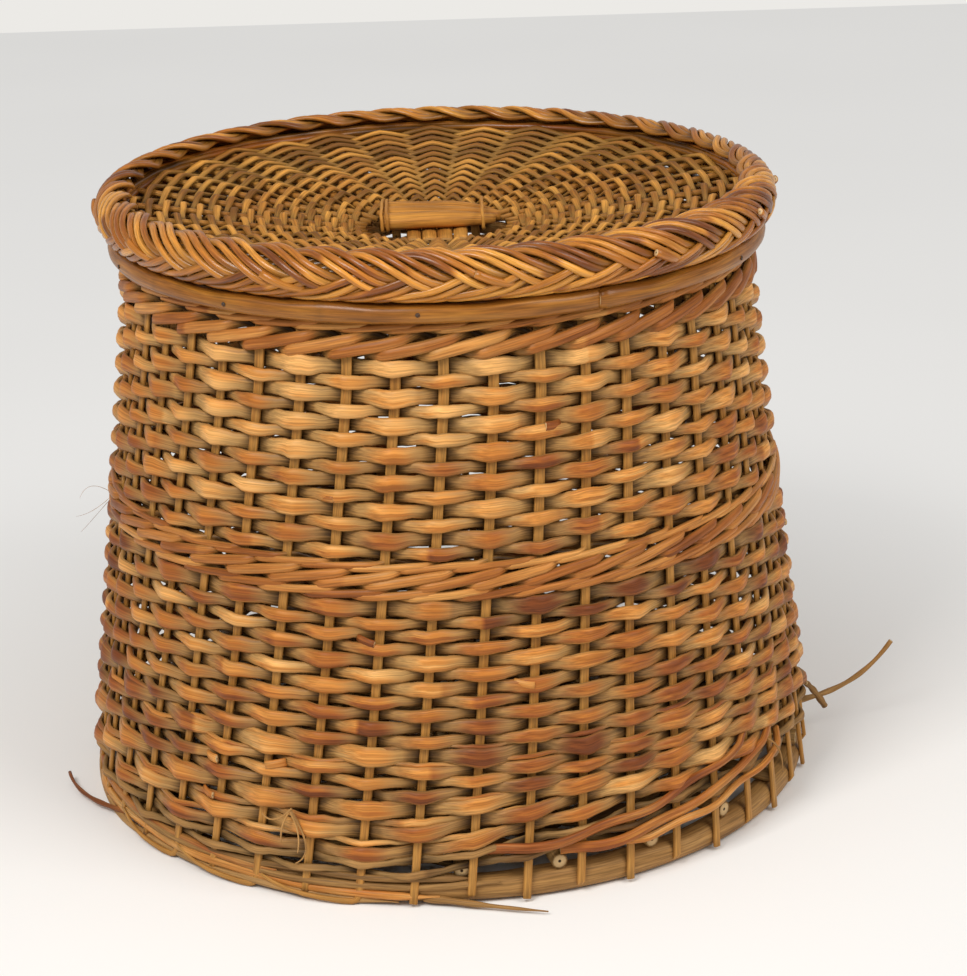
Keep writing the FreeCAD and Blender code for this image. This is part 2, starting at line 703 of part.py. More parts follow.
def strand_section(angle, phase):
    """Section of one strand, a lens laid flat on the roll, about the roll's own middle.

    The strand swings up and down round the roll once while it dips in and out twice.
    """
    turn = math.radians(size("plait_turn_angle") + size("plait_swing_angle") * math.sin(phase))
    depth = size("roll_radius") - size("plait_depth") * math.sin(2 * phase)
    side, face = size("strand_width") / 2, size("strand_thick") / 2
    corners = []
    for along, out in ((-side, depth), (0, depth + face), (side, depth), (0, depth - face)):
        radius = border_radius() + out * math.cos(turn) - along * math.sin(turn)
        corners.append(at(radius, angle, out * math.sin(turn) + along * math.cos(turn)))
    return corners


def strand_phase(strand, station):
    """How far through its swing a strand is at a station."""
    return math.tau * ((station + 0.5) / STATIONS_PER_REPEAT + strand / STRANDS)


def border_stations():
    """Number of stations round the border."""
    return count("plait_repeats") * STATIONS_PER_REPEAT


def strand_sections(strand):
    """The sections of one strand all the way round."""
    stations = border_stations()
    return [strand_section(math.tau * i / stations, strand_phase(strand, i))
            for i in range(stations)]


def strand_turnings(strand):
    """The spans in which a strand crosses over the top of the roll and turns over."""
    return [i for i in range(border_stations())
            if math.sin(strand_phase(strand, i)) * math.sin(strand_phase(strand, i + 1)) < 0]


def build_border():
    """Three strands plaited over the edge of the lid and resting on the rim hoop.

    The lowest points of the roll stand outside the hoop and hang just below its top.
    """
    strands = [strand_sections(strand) for strand in range(STRANDS)]
    lowest = min(corner.z for sections in strands for section in sections for corner in section)
    lift = FreeCAD.Vector(0, 0, size("rim_height") - size("border_drop") - lowest)
    for strand, sections in enumerate(strands):
        raised = [[corner + lift for corner in section] for section in sections]
        add_shape("border_strand_%d" % (strand + 1), ring_solid(raised, strand_turnings(strand)))


# ---------------------------------------------------------------- loose rods

ROD_SPANS = 4
UP = FreeCAD.Vector(0, 0, 1)


def rod_section(point, along, width):
    """A square section of a rod across its run, set on edge."""
    side = along.cross(UP).normalize() * width / 2
    up = side.cross(along).normalize() * width / 2
    return [point + side, point + up, point - side, point - up]


def bent_rod(points, leaving, width):
    """A rod along a run of points, its first end cut square to the way it leaves."""
    sections = [rod_section(points[0], leaving, width)]
    for i in range(1, len(points)):
        ahead = points[min(i + 1, len(points) - 1)]
        sections.append(rod_section(points[i], (ahead - points[i - 1]).normalize(), width))
    return rod_solid(sections)


def build_whip():
    """A weaver's end that has sprung out of the wall at the right."""
    width = size("loose_rod_width")
    foot, top = row_bounds(count("lower_rows"), weave_foot(), size("waist_height"))[1]
    middle = (foot + top) / 2
    widest = max(wall_radius(middle - width / 2), wall_radius(middle + width / 2))
    root = widest + size("stake_thick") / 2 + size("gap")
    points = []
    for i in range(ROD_SPANS + 1):
        share = i / ROD_SPANS
        side = math.radians(size("whip_turn_angle")) * share * share / 2
        points.append(FreeCAD.Vector(root + size("whip_reach") * share,
                                     size("whip_reach") * share * math.sin(side),
                                     middle + size("whip_rise") * share * share))
    return bent_rod(points, FreeCAD.Vector(1, 0, 0), width)


def build_floor_rod():
    """A rod that has sprung out of the foot at the left and lies close to the floor."""
    width, height = size("loose_rod_width"), size("floor_rod_height")
    start = math.tau * size("floor_rod_stake") / stake_count()
    near = wall_radius(height) + (size("stake_thick") + width) / 2 + size("gap")
    points = []
    for i in range(ROD_SPANS + 1):
        left = 1 - i / ROD_SPANS
        radius = near + size("floor_rod_reach") * (1 - left * left)
        points.append(at(radius, start - math.radians(size("floor_rod_turn_angle")) * (1 - left), height))
    return bent_rod(points, at(1, start - math.pi / 2, 0), width)


def build_loose_rods():
    """Both loose rods."""
    return add_shape("loose_rods", Part.makeCompound([build_whip(), build_floor_rod()]))


# ---------------------------------------------------------------- build and export

def build_all():
    """Build the hamper from the floor up, then the lid."""
    fill_sheet()
    build_foot_hoop()
    build_base_spokes()
    build_base_slath()
    build_base_weavers()
    build_plain_stakes()
    build_hooked_stakes()
    build_wall()
    build_rim_lining()
    build_rim_hoop()
    build_rim_nails()
    build_loose_rods()
    build_lid_spokes()
    build_lid_slath()
    build_bindings()
    build_lid_weavers()
    build_border()
    DOC.recompute()


def check_and_export():
    """Stop on any failed object or bad shape, then write one STEP file for each sub-part."""
    for item in DOC.Objects:
        if "Invalid" in item.State or "Error" in item.State:
            raise RuntimeError("%s did not compute: %s" % (item.Label, item.State))
    for node in NODES:
        if node.Shape.isNull() or not node.Shape.isValid():
            raise RuntimeError("%s has no valid shape" % node.Label)
    os.makedirs("parts", exist_ok=True)
    for node in NODES:
        node.Shape.exportStep(os.path.join("parts", node.Label + ".step"))
        print("%-20s %3d solids" % (node.Label, len(node.Shape.Solids)))


build_all()
check_and_export()
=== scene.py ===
"""A round woven willow laundry hamper with a loose dished lid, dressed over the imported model.

The wall is randed: each rod passes in front of one stake and behind the next.  The lid is a
dished disc woven the same way over radial sticks and edged with a plait of seven strands.
All lengths are in metres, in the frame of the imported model: +Z up, the front faces -Y.
"""
import logging
import math
from collections.abc import Sequence
from dataclasses import dataclass, field
from enum import Enum
from typing import Any

import bpy
import numpy as np
from mathutils import Matrix, Vector

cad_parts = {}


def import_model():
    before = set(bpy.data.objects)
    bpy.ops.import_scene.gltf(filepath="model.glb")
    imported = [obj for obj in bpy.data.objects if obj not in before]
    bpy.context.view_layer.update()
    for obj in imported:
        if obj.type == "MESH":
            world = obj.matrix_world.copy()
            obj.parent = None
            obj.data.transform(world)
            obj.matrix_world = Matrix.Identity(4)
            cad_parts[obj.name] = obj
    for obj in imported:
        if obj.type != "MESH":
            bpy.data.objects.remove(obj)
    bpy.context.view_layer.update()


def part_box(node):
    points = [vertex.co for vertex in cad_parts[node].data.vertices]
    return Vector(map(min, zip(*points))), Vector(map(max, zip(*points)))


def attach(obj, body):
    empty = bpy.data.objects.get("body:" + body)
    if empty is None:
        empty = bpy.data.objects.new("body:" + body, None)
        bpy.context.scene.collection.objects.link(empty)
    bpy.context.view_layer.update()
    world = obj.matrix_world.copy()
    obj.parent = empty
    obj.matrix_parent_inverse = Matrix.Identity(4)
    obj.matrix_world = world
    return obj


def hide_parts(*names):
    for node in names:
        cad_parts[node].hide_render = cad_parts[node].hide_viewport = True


LOG = logging.getLogger("hamper")
FULL_TURN = 2 * math.pi
UP = np.array([0.0, 0.0, 1.0])
# a Map Range node with this setting eases from one number to the next
EASED = {"interpolation_type": "SMOOTHSTEP"}


class Body(Enum):
    """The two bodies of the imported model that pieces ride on."""

    HAMPER = "hamper"
    LID = "lid"


def linear(code: str) -> tuple[float, float, float, float]:
    """Turn an sRGB colour written as six hex digits into linear light.

    Args:
        code: The colour, such as "c98a4a".

    Returns:
        Red, green, blue and an alpha of one.
    """
    parts = [int(code[i:i + 2], 16) / 255 for i in (0, 2, 4)]
    light = [p / 12.92 if p <= 0.04045 else ((p + 0.055) / 1.055) ** 2.4 for p in parts]
    return light[0], light[1], light[2], 1.0


# ------------------------------------------------------------------ writing node trees

@dataclass(frozen=True)
class Field:
    """A number that a node socket carries, with arithmetic that adds Math nodes."""

    board: "Board"
    socket: bpy.types.NodeSocket

    def do(self, operation: str, *others: Any) -> "Field":
        """Work out one number from this and others, such as its COSINE or FRACT."""
        return self.board.get("ShaderNodeMath", dict(enumerate((self, *others))),
                              operation=operation)

    def __add__(self, other: Any) -> "Field":
        """Sum."""
        return self.do("ADD", other)

    def __sub__(self, other: Any) -> "Field":
        """Difference."""
        return self.do("SUBTRACT", other)

    def __rsub__(self, other: Any) -> "Field":
        """Difference, from the right."""
        return self.board.get("ShaderNodeMath", {0: other, 1: self}, operation="SUBTRACT")

    def __mul__(self, other: Any) -> "Field":
        """Product."""
        return self.do("MULTIPLY", other)

    def __truediv__(self, other: Any) -> "Field":
        """Quotient."""
        return self.do("DIVIDE", other)

    __radd__ = __add__
    __rmul__ = __mul__


class Board:
    """A node tree that is being written."""

    def __init__(self, tree: bpy.types.NodeTree) -> None:
        """Start on a tree, cleared of its nodes."""
        tree.nodes.clear()
        self.tree = tree

    def add(self, kind: str, inputs: dict[Any, Any] | None = None,
            **settings: Any) -> bpy.types.Node:
        """Add one node, set it up and feed it.

        Args:
            kind: The node's type name.
            inputs: What feeds each socket, by name or place: a Field or a plain value.
            **settings: The node's own properties.

        Returns:
            The new node.
        """
        node = self.tree.nodes.new(kind)
        for name, value in settings.items():
            setattr(node, name, value)
        for key, value in (inputs or {}).items():
            sockets = [s for s in node.inputs if s.enabled and s.name == key]
            socket = node.inputs[key] if isinstance(key, int) else sockets[0]
            if isinstance(value, Field):
                self.tree.links.new(value.socket, socket)
            else:
                socket.default_value = value
        return node

    def get(self, kind: str, inputs: dict[Any, Any] | None = None, output: str | int = 0,
            **settings: Any) -> Field:
        """Add one node and take one of its outputs.

        Args:
            kind: The node's type name.
            inputs: What feeds each socket.
            output: The output's name or place.
            **settings: The node's own properties.

        Returns:
            The output.
        """
        return self.out(self.add(kind, inputs, **settings), output)

    def out(self, node: bpy.types.Node, name: str | int = 0) -> Field:
        """Take one output of a node.

        Args:
            node: The node.
            name: The output's name or place among those in use.

        Returns:
            The output.
        """
        live = [s for s in node.outputs if s.enabled]
        named = {s.name: s for s in reversed(live)}
        return Field(self, live[name] if isinstance(name, int) else named[name])


class Grower:
    """A geometry-node tree with named inputs, which is run once for each mesh."""

    SIZES: dict[str, float] = {}
    PORTS: tuple[str, ...] = ()

    def __init__(self) -> None:
        name = type(self).__name__
        self.board = Board(bpy.data.node_groups.new(name, "GeometryNodeTree"))
        face = self.board.tree.interface
        self.keys: dict[str, str] = {}
        for label, value in self.SIZES.items():
            kind = "NodeSocketInt" if isinstance(value, int) else "NodeSocketFloat"
            socket = face.new_socket(label, in_out="INPUT", socket_type=kind)
            socket.default_value = value
            self.keys[label] = socket.identifier
        for label in (*self.PORTS, "Material"):
            self.keys[label] = face.new_socket(label, in_out="INPUT",
                                               socket_type="NodeSocket" + label).identifier
        face.new_socket("Geometry", in_out="OUTPUT", socket_type="NodeSocketGeometry")
        group = self.board.add("NodeGroupInput")
        self.size = {label: self.board.out(group, label) for label in self.keys}
        real = self.board.get("GeometryNodeRealizeInstances", {"Geometry": self.shape()})
        dressed = self.board.get("GeometryNodeSetMaterial",
                                 {"Geometry": real, "Material": self.size["Material"]})
        self.board.add("NodeGroupOutput", {"Geometry": dressed})

    def shape(self) -> Field:
        """Write the nodes that make the geometry."""
        raise NotImplementedError

    def tone(self, dice: Field) -> Field:
        """A tone between the lowest and the highest."""
        return self.size["Tone Low"] + dice * (self.size["Tone High"] - self.size["Tone Low"])

    def grow(self, finish: bpy.types.Material, **sizes: Any) -> bpy.types.Mesh:
        """Run the tree once and keep its result as a plain mesh.

        Args:
            finish: The material that the mesh is made in.
            **sizes: Inputs by label, with underscores for spaces.

        Returns:
            The evaluated mesh.
        """
        holder = bpy.data.objects.new("holder", bpy.data.meshes.new("holder"))
        bpy.context.scene.collection.objects.link(holder)
        modifier = holder.modifiers.new("grow", "NODES")
        modifier.node_group = self.board.tree
        for label, value in {**sizes, "Material": finish}.items():
            modifier[self.keys[label.replace("_", " ")]] = value
        graph = bpy.context.evaluated_depsgraph_get()
        mesh = bpy.data.meshes.new_from_object(holder.evaluated_get(graph),
                                               preserve_all_data_layers=True, depsgraph=graph)
        bpy.data.objects.remove(holder)
        return face_outward(mesh)


def face_outward(mesh: bpy.types.Mesh) -> bpy.types.Mesh:
    """Turn a closed mesh right side out where its volume comes out negative.

    Args:
        mesh: The mesh, which is changed in place.

    Returns:
        The same mesh.
    """
    corners = np.zeros(len(mesh.vertices) * 3)
    mesh.vertices.foreach_get("co", corners)
    corners = corners.reshape(-1, 3)
    mesh.calc_loop_triangles()
    faces = np.zeros(len(mesh.loop_triangles) * 3, int)
    mesh.loop_triangles.foreach_get("vertices", faces)
    a, b, c = (corners[faces.reshape(-1, 3)[:, i]] for i in range(3))
    if np.einsum("ij,ij->i", a, np.cross(b, c)).sum() < 0:
        mesh.flip_normals()
    return mesh


# ------------------------------------------------------------------ rods grown by rule

@dataclass(frozen=True)
class Course:
    """Where a rod runs at each place along it, and how it lies there.

    radius, height: The middle of the rod.
    lean: Angle of its flat face's outward direction above the horizontal.
    over: From -1, tucked behind, to 1, standing proud.
    wide: Factor on its width.
    full: From 0 at a tip to 1 along the rod.
    """

    radius: Field
    height: Field
    lean: Field
    over: Field
    wide: Any
    full: Any = 1.0


class Loom(Grower):
    """A tree that grows one rod round the basket, along a course that a subclass works out."""

    # the longest welded gap, how sharp a tent is, and the steps that keep seeds apart
    WELD, TENT, SEED_STEP, ROD_STEP = 0.00002, 0.97, 7.31, 0.37
    COMMON = {"Stations": 400, "Sides": 10, "Start": 0.0, "Turns": 1.0, "Twist": 0.0,
              "Half Thick": 0.003, "Half Wide": 0.005, "Squareness": 0.8, "Seed": 1,
              "Rods": 3.0, "Tone Low": 0.0, "Tone High": 1.0}

    def course(self, angle: Field) -> Course:
        """Work out the course from the inputs.

        Args:
            angle: The angle round the basket.

        Returns:
            The course.
        """
        raise NotImplementedError

    def wander(self, angle: Field, pace: float, salt: float) -> Field:
        """A smooth random swing between about -1 and 1 that closes on itself round the basket.

        Args:
            angle: The angle round the basket.
            pace: How quickly it changes.
            salt: Keeps one use apart from another.

        Returns:
            The swing.
        """
        layer = self.size["Seed"] * self.SEED_STEP + salt
        spot = self.board.get("ShaderNodeCombineXYZ", {0: angle.do("COSINE") * pace,
                                                       1: angle.do("SINE") * pace, 2: layer})
        noise = self.board.get("ShaderNodeTexNoise", {"Vector": spot, "Scale": 1.0,
                                                      "Detail": 1.0})
        return (noise - 0.5) * 3.0

    def tent(self, wave: Field) -> Field:
        """Straighten the flanks of a sine wave and keep its tips a little round."""
        return (wave * self.TENT).do("ARCSINE") / math.asin(self.TENT)

    def shape(self) -> Field:
        """Roll a grid into a tube that follows the course, and mark it for its finish.

        Returns:
            The rod's geometry.
        """
        b, size = self.board, self.size
        grid = b.get("GeometryNodeMeshGrid", {"Size X": 1.0, "Size Y": 1.0,
                                              "Vertices X": size["Stations"],
                                              "Vertices Y": size["Sides"] + 1}, "Mesh")
        place = b.add("ShaderNodeSeparateXYZ", {0: b.get("GeometryNodeInputPosition")})
        along, round_it = b.out(place, 0) + 0.5, b.out(place, 1) + 0.5
        angle = size["Start"] + along * size["Turns"] * FULL_TURN
        course = self.course(angle)
        face, edge = (round_it * FULL_TURN).do("COSINE"), (round_it * FULL_TURN).do("SINE")
        depth, across = (
            side.do("ABSOLUTE").do("POWER", size["Squareness"]) * side.do("SIGN") * size[half]
            * course.full for side, half in ((face, "Half Thick"), (edge, "Half Wide")))
        across = across * course.wide
        lean_cos, lean_sin = course.lean.do("COSINE"), course.lean.do("SINE")
        radius = course.radius + depth * lean_cos - across * lean_sin
        height = course.height + depth * lean_sin + across * lean_cos
        turn = angle + size["Twist"]
        rod = (along * size["Rods"] + size["Seed"] * self.ROD_STEP).do("FLOOR")
        draw, unrolled, spot = (
            b.get("ShaderNodeCombineXYZ", dict(enumerate(values))) for values in (
                (rod, size["Seed"], 0.5),
                (angle * course.radius, round_it * size["Half Wide"] * 4),
                (radius * turn.do("COSINE"), radius * turn.do("SINE"), height)))
        dice = b.get("ShaderNodeTexWhiteNoise", {"Vector": draw}, noise_dimensions="2D")
        marked = grid
        for name, value, kind, domain in (
                ("tone", self.tone(dice), "FLOAT", "POINT"),
                ("proud", course.over * face * 0.5 + 0.5, "FLOAT", "POINT"),
                ("grain", unrolled, "FLOAT2", "CORNER")):
            marked = b.get("GeometryNodeStoreNamedAttribute",
                           {"Geometry": marked, "Name": name, "Value": value},
                           data_type=kind, domain=domain)
        moved = b.get("GeometryNodeSetPosition", {"Geometry": marked, "Position": spot})
        welded = b.get("GeometryNodeMergeByDistance", {"Geometry": moved,
                                                       "Distance": self.WELD})
        return b.get("GeometryNodeSetShadeSmooth", {"Geometry": welded})


class WovenRod(Loom):
    """Over one stick and under the next, bending like a tent over each."""

    SIZES = {**Loom.COMMON, "Sticks": 44.0, "Phase": 0.0, "Radius": 0.3, "Height": 0.1,
             "Swing": 0.006, "Lean": 0.0, "Pinch": 0.2, "Wander": 0.001, "Lift": 0.0,
             "Lift At": 0.0, "Lift From": 0.5}

    def course(self, angle: Field) -> Course:
        """Swing in and out, drift up and down, and rise on the side where the rod is lifted.

        Args:
            angle: The angle round the basket.

        Returns:
            The course.
        """
        size, lean = self.size, self.size["Lean"]
        beat = ((angle * size["Sticks"] / FULL_TURN + size["Phase"]) * math.pi).do("COSINE")
        tent = self.tent(beat)
        swing = size["Swing"] * tent * (1 + self.wander(angle, 9.0, 3.1) * 0.1)
        drift = self.wander(angle, 4.0, 0.0) * size["Wander"]
        drift = drift + self.wander(angle, 17.0, 8.0) * size["Wander"] * 0.8
        facing = (angle - size["Lift At"]).do("COSINE")
        near = self.board.get("ShaderNodeMapRange", {0: facing, 1: size["Lift From"], 2: 1.0},
                              **EASED)
        drift = drift + near * size["Lift"]
        radius = size["Radius"] + swing * lean.do("COSINE") - drift * lean.do("SINE")
        height = size["Height"] + swing * lean.do("SINE") + drift * lean.do("COSINE")
        spread = 1 - size["Pinch"] * (1 - beat.do("ABSOLUTE"))
        return Course(radius, height, lean, tent,
                      spread * (1 + self.wander(angle, 7.0, 5.7) * 0.2))


class WaledRod(Loom):
    """In front of two sticks and behind the third, rising as it goes, then dropping behind."""

    SIZES = {**Loom.COMMON, "Sticks": 44.0, "Lane": 0.0, "Lanes": 3.0, "Radius": 0.3,
             "Height": 0.1, "Swing": 0.006, "Rise": 0.02, "Lean": 0.0, "Wander": 0.001}

    def course(self, angle: Field) -> Course:
        """Climb along each stroke, and taper the two ends of the rod.

        Args:
            angle: The angle round the basket.

        Returns:
            The course.
        """
        b, size, lean = self.board, self.size, self.size["Lean"]
        share = ((angle * size["Sticks"] / FULL_TURN + size["Lane"]) / size["Lanes"]).do("FRACT")
        to_end = share.do("MINIMUM", 1 - share)
        done = (angle - size["Start"]) / (FULL_TURN * size["Turns"])
        front, steep, full, middle = (
            b.get("ShaderNodeMapRange", dict(enumerate(steps)), **EASED) for steps in (
                ((share * FULL_TURN).do("COSINE") * -1, -0.85, 0.25, -1.0, 1.0),
                (to_end, 0.0, 0.18), (done.do("MINIMUM", 1 - done), 0.0, 0.004),
                (to_end, 0.08, 0.36)))
        climb = (share - 0.5) * steep * size["Rise"]
        drift = self.wander(angle, 8.0, 1.0) * size["Wander"]
        radius = size["Radius"] + front * size["Swing"] - climb * lean.do("SINE")
        return Course(radius, size["Height"] + climb + drift, lean, front,
                      0.78 + middle * 0.22, full)


class PlaitedRod(Loom):
    """Swinging up and down round a roll once while dipping in and out twice."""

    SIZES = {**Loom.COMMON, "Repeats": 8.0, "Phase": 0.0, "Radius": 0.28, "Height": 0.52,
             "Roll": 0.017, "Swing": 1.3, "Turn": -0.2, "Depth": 0.008, "Lane": 0.0,
             "Wander": 0.0005, "Skew": 0.0}

    def course(self, angle: Field) -> Course:
        """Sweep over the roll in nearly straight strokes.

        Args:
            angle: The angle round the basket.

        Returns:
            The course.
        """
        size = self.size
        phase = angle * size["Repeats"] + size["Phase"]
        side = size["Lane"] + self.wander(angle, 9.0, 2.0) * size["Wander"]
        sine = phase.do("SINE")
        turn = size["Turn"] + size["Swing"] * self.tent(sine) + sine * sine * size["Skew"]
        turn = turn + side / size["Roll"]
        dip = ((phase * 2).do("SINE") * -1.5).do("TANH")
        out = size["Roll"] + size["Depth"] * dip
        return Course(size["Radius"] + out * turn.do("COSINE"),
                      size["Height"] + out * turn.do("SINE"), turn, dip,
                      1 + self.wander(angle, 12.0, 4.0) * 0.14)


class RoundArray(Grower):
    """A tree that sets copies of one piece round the basket's axis."""

    SIZES = {"Count": 8, "Start": 0.0, "Step": 0.1, "Turn Jitter": 0.0, "Lift Jitter": 0.0,
             "Seed": 1, "Tone Low": 0.0, "Tone High": 0.0}
    PORTS = ("Object",)

    def shape(self) -> Field:
        """Place, turn and tone the copies.

        Returns:
            The copies, not yet realized.
        """
        b, size = self.board, self.size
        index = b.get("GeometryNodeInputIndex")
        dice = [b.get("FunctionNodeRandomValue",
                      {"Min": low, "Max": 1.0, "ID": index, "Seed": size["Seed"] + salt},
                      data_type="FLOAT") for salt, low in enumerate((-1.0, -1.0, 0.0))]
        turn = size["Start"] + index * size["Step"] + dice[0] * size["Turn Jitter"]
        lift = b.get("ShaderNodeCombineXYZ", {2: dice[1] * size["Lift Jitter"]})
        points = b.get("GeometryNodePoints", {"Count": size["Count"], "Position": lift})
        piece = b.get("GeometryNodeObjectInfo", {"Object": size["Object"]}, "Geometry")
        way = b.get("FunctionNodeEulerToRotation", {0: b.get("ShaderNodeCombineXYZ", {2: turn})})
        copies = b.get("GeometryNodeInstanceOnPoints",
                       {"Points": points, "Instance": piece, "Rotation": way})
        return b.get("GeometryNodeStoreNamedAttribute",
                     {"Geometry": copies, "Name": "tone", "Value": self.tone(dice[2])},
                     data_type="FLOAT", domain="INSTANCE")

    def spread(self, piece: bpy.types.Mesh, finish: bpy.types.Material,
               **sizes: float) -> bpy.types.Mesh:
        """Set copies of a mesh round the axis.

        Args:
            piece: The mesh, where it stands at angle zero.
            finish: The material of the copies.
            **sizes: Inputs by label, with underscores for spaces.

        Returns:
            All the copies as one mesh.
        """
        source = bpy.data.objects.new("one", piece)
        bpy.context.scene.collection.objects.link(source)
        mesh = self.grow(finish, **sizes, Object=source)
        bpy.data.objects.remove(source)
        return mesh


# ------------------------------------------------------------------ rods made from given points

def round_axis(radius: Any, angles: Any, heights: Any) -> np.ndarray:
    """Points round the basket's axis.

    Args:
        radius: Distance from the axis, at each point or one for all.
        angles: Angle round the axis, at each point.
        heights: Height, at each point or one for all.

    Returns:
        A row of x, y and z for each point.
    """
    return np.stack([radius * np.cos(angles), radius * np.sin(angles), heights + 0 * angles],
                    axis=1)


@dataclass
class Rod:
    """A single rod or stick along given points.

    spine: The middle of the rod at each station.
    outward: The direction that its flat face looks in, at each station or one for all.
    thick, wide: Half its thickness and half its width, at each station or one for all.
    """

    spine: np.ndarray
    outward: np.ndarray
    thick: np.ndarray | float
    wide: np.ndarray | float
    sides: int = 8
    square: float = 0.8
    tone: float = 0.5
    proud: np.ndarray | float = 0.8

    def corners(self) -> np.ndarray:
        """Work out the rings of corners from end to end, then the middles of the two ends.

        Returns:
            A row of x, y and z for each corner.
        """
        ahead = np.gradient(self.spine, axis=0)
        ahead /= np.linalg.norm(ahead, axis=1)[:, None]
        out = np.broadcast_to(self.outward, self.spine.shape)
        out = out - ahead * np.einsum("ij,ij->i", out, ahead)[:, None]
        out /= np.linalg.norm(out, axis=1)[:, None]
        side = np.cross(ahead, out)
        around = np.arange(self.sides) * FULL_TURN / self.sides
        face, edge = (np.sign(wave) * np.abs(wave) ** self.square
                      for wave in (np.cos(around), np.sin(around)))
        thick, wide = (np.broadcast_to(half, len(self.spine))[:, None, None]
                       for half in (self.thick, self.wide))
        rings = (self.spine[:, None] + out[:, None] * face[None, :, None] * thick
                 + side[:, None] * edge[None, :, None] * wide)
        return np.concatenate([rings.reshape(-1, 3), self.spine[:1], self.spine[-1:]])

    def faces(self) -> list[tuple[int, ...]]:
        """List the four-sided faces along the rod, then the fans that close its ends.

        Returns:
            The corners of each face.
        """
        n, last = self.sides, (len(self.spine) - 1) * self.sides
        pairs = [(j, (j + 1) % n) for j in range(n)]
        tube = [(i + j, i + k, i + n + k, i + n + j) for i in range(0, last, n)
                for j, k in pairs]
        caps = [cap for j, k in pairs
                for cap in ((last + n, k, j), (last + n + 1, last + j, last + k))]
        return tube + caps

    def grain(self, faces: list[tuple[int, ...]]) -> list[float]:
        """Unroll the rod: how far along and how far round each corner of each face lies.

        Args:
            faces: The corners of each face.

        Returns:
            Two lengths for each corner of each face, one after the other.
        """
        n, count = self.sides, len(self.spine)
        steps = np.linalg.norm(np.diff(self.spine, axis=0), axis=1)
        run = np.concatenate([[0], np.cumsum(steps)]) + self.tone * 3
        girth, spots = float(np.max(self.wide)) * 4, []
        for face in faces:
            seam = len(face) == 4 and face[1] % n == 0
            for corner in face:
                i, j = divmod(corner, n)
                if i >= count:
                    i, j = (0, 0) if corner == count * n else (count - 1, 0)
                spots += [run[i], (1.0 if seam and j == 0 else j / n) * girth]
        return spots

    def mesh(self, finish: bpy.types.Material | None = None) -> bpy.types.Mesh:
        """Make the rod as a closed mesh with its marks for the finish.

        Args:
            finish: Its material, or None where a node tree sets it.

        Returns:
            The mesh.
        """
        corners, faces = self.corners(), self.faces()
        mesh = bpy.data.meshes.new("rod")
        mesh.from_pydata(corners.tolist(), [], faces)
        grain = mesh.attributes.new("grain", "FLOAT2", "CORNER")
        grain.data.foreach_set("vector", self.grain(faces))
        level = np.broadcast_to(self.proud, len(self.spine))
        marks = {"tone": np.full(len(corners), self.tone),
                 "proud": np.concatenate([np.repeat(level, self.sides), level[:1], level[-1:]]),
                 "cut": np.append(np.zeros(len(corners) - 2), (1.0, 1.0))}
        for name, values in marks.items():
            mesh.attributes.new(name, "FLOAT", "POINT").data.foreach_set("value", values)
        mesh.shade_smooth()
        if finish is not None:
            mesh.materials.append(finish)
        return face_outward(mesh)


def settle(name: str, meshes: Sequence[bpy.types.Mesh], body: Body, slot: str,
           *replaced: str) -> None:
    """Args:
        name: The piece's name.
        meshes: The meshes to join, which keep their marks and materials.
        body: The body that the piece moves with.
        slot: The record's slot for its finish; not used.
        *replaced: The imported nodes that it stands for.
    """
    parts = [bpy.data.objects.new(name, mesh) for mesh in meshes]
    for part in parts:
        bpy.context.scene.collection.objects.link(part)
    if len(parts) > 1:
        with bpy.context.temp_override(active_object=parts[0], selected_objects=parts,
                                       selected_editable_objects=parts):
            bpy.ops.object.join()
    piece = parts[0]
    piece.name = piece.data.name = name
    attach(piece, body.value)
    if replaced:
        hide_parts(*replaced)
    LOG.info("%s: %d faces on %s", name, len(piece.data.polygons), body.value)


# ------------------------------------------------------------------ finishes

def blank(name: str) -> tuple[bpy.types.Material, Board]:
    """Start a material.

    Args:
        name: Its name.

    Returns:
        The material and the board of its empty node tree.
    """
    material = bpy.data.materials.new(name)
    material.use_nodes = True
    return material, Board(material.node_tree)


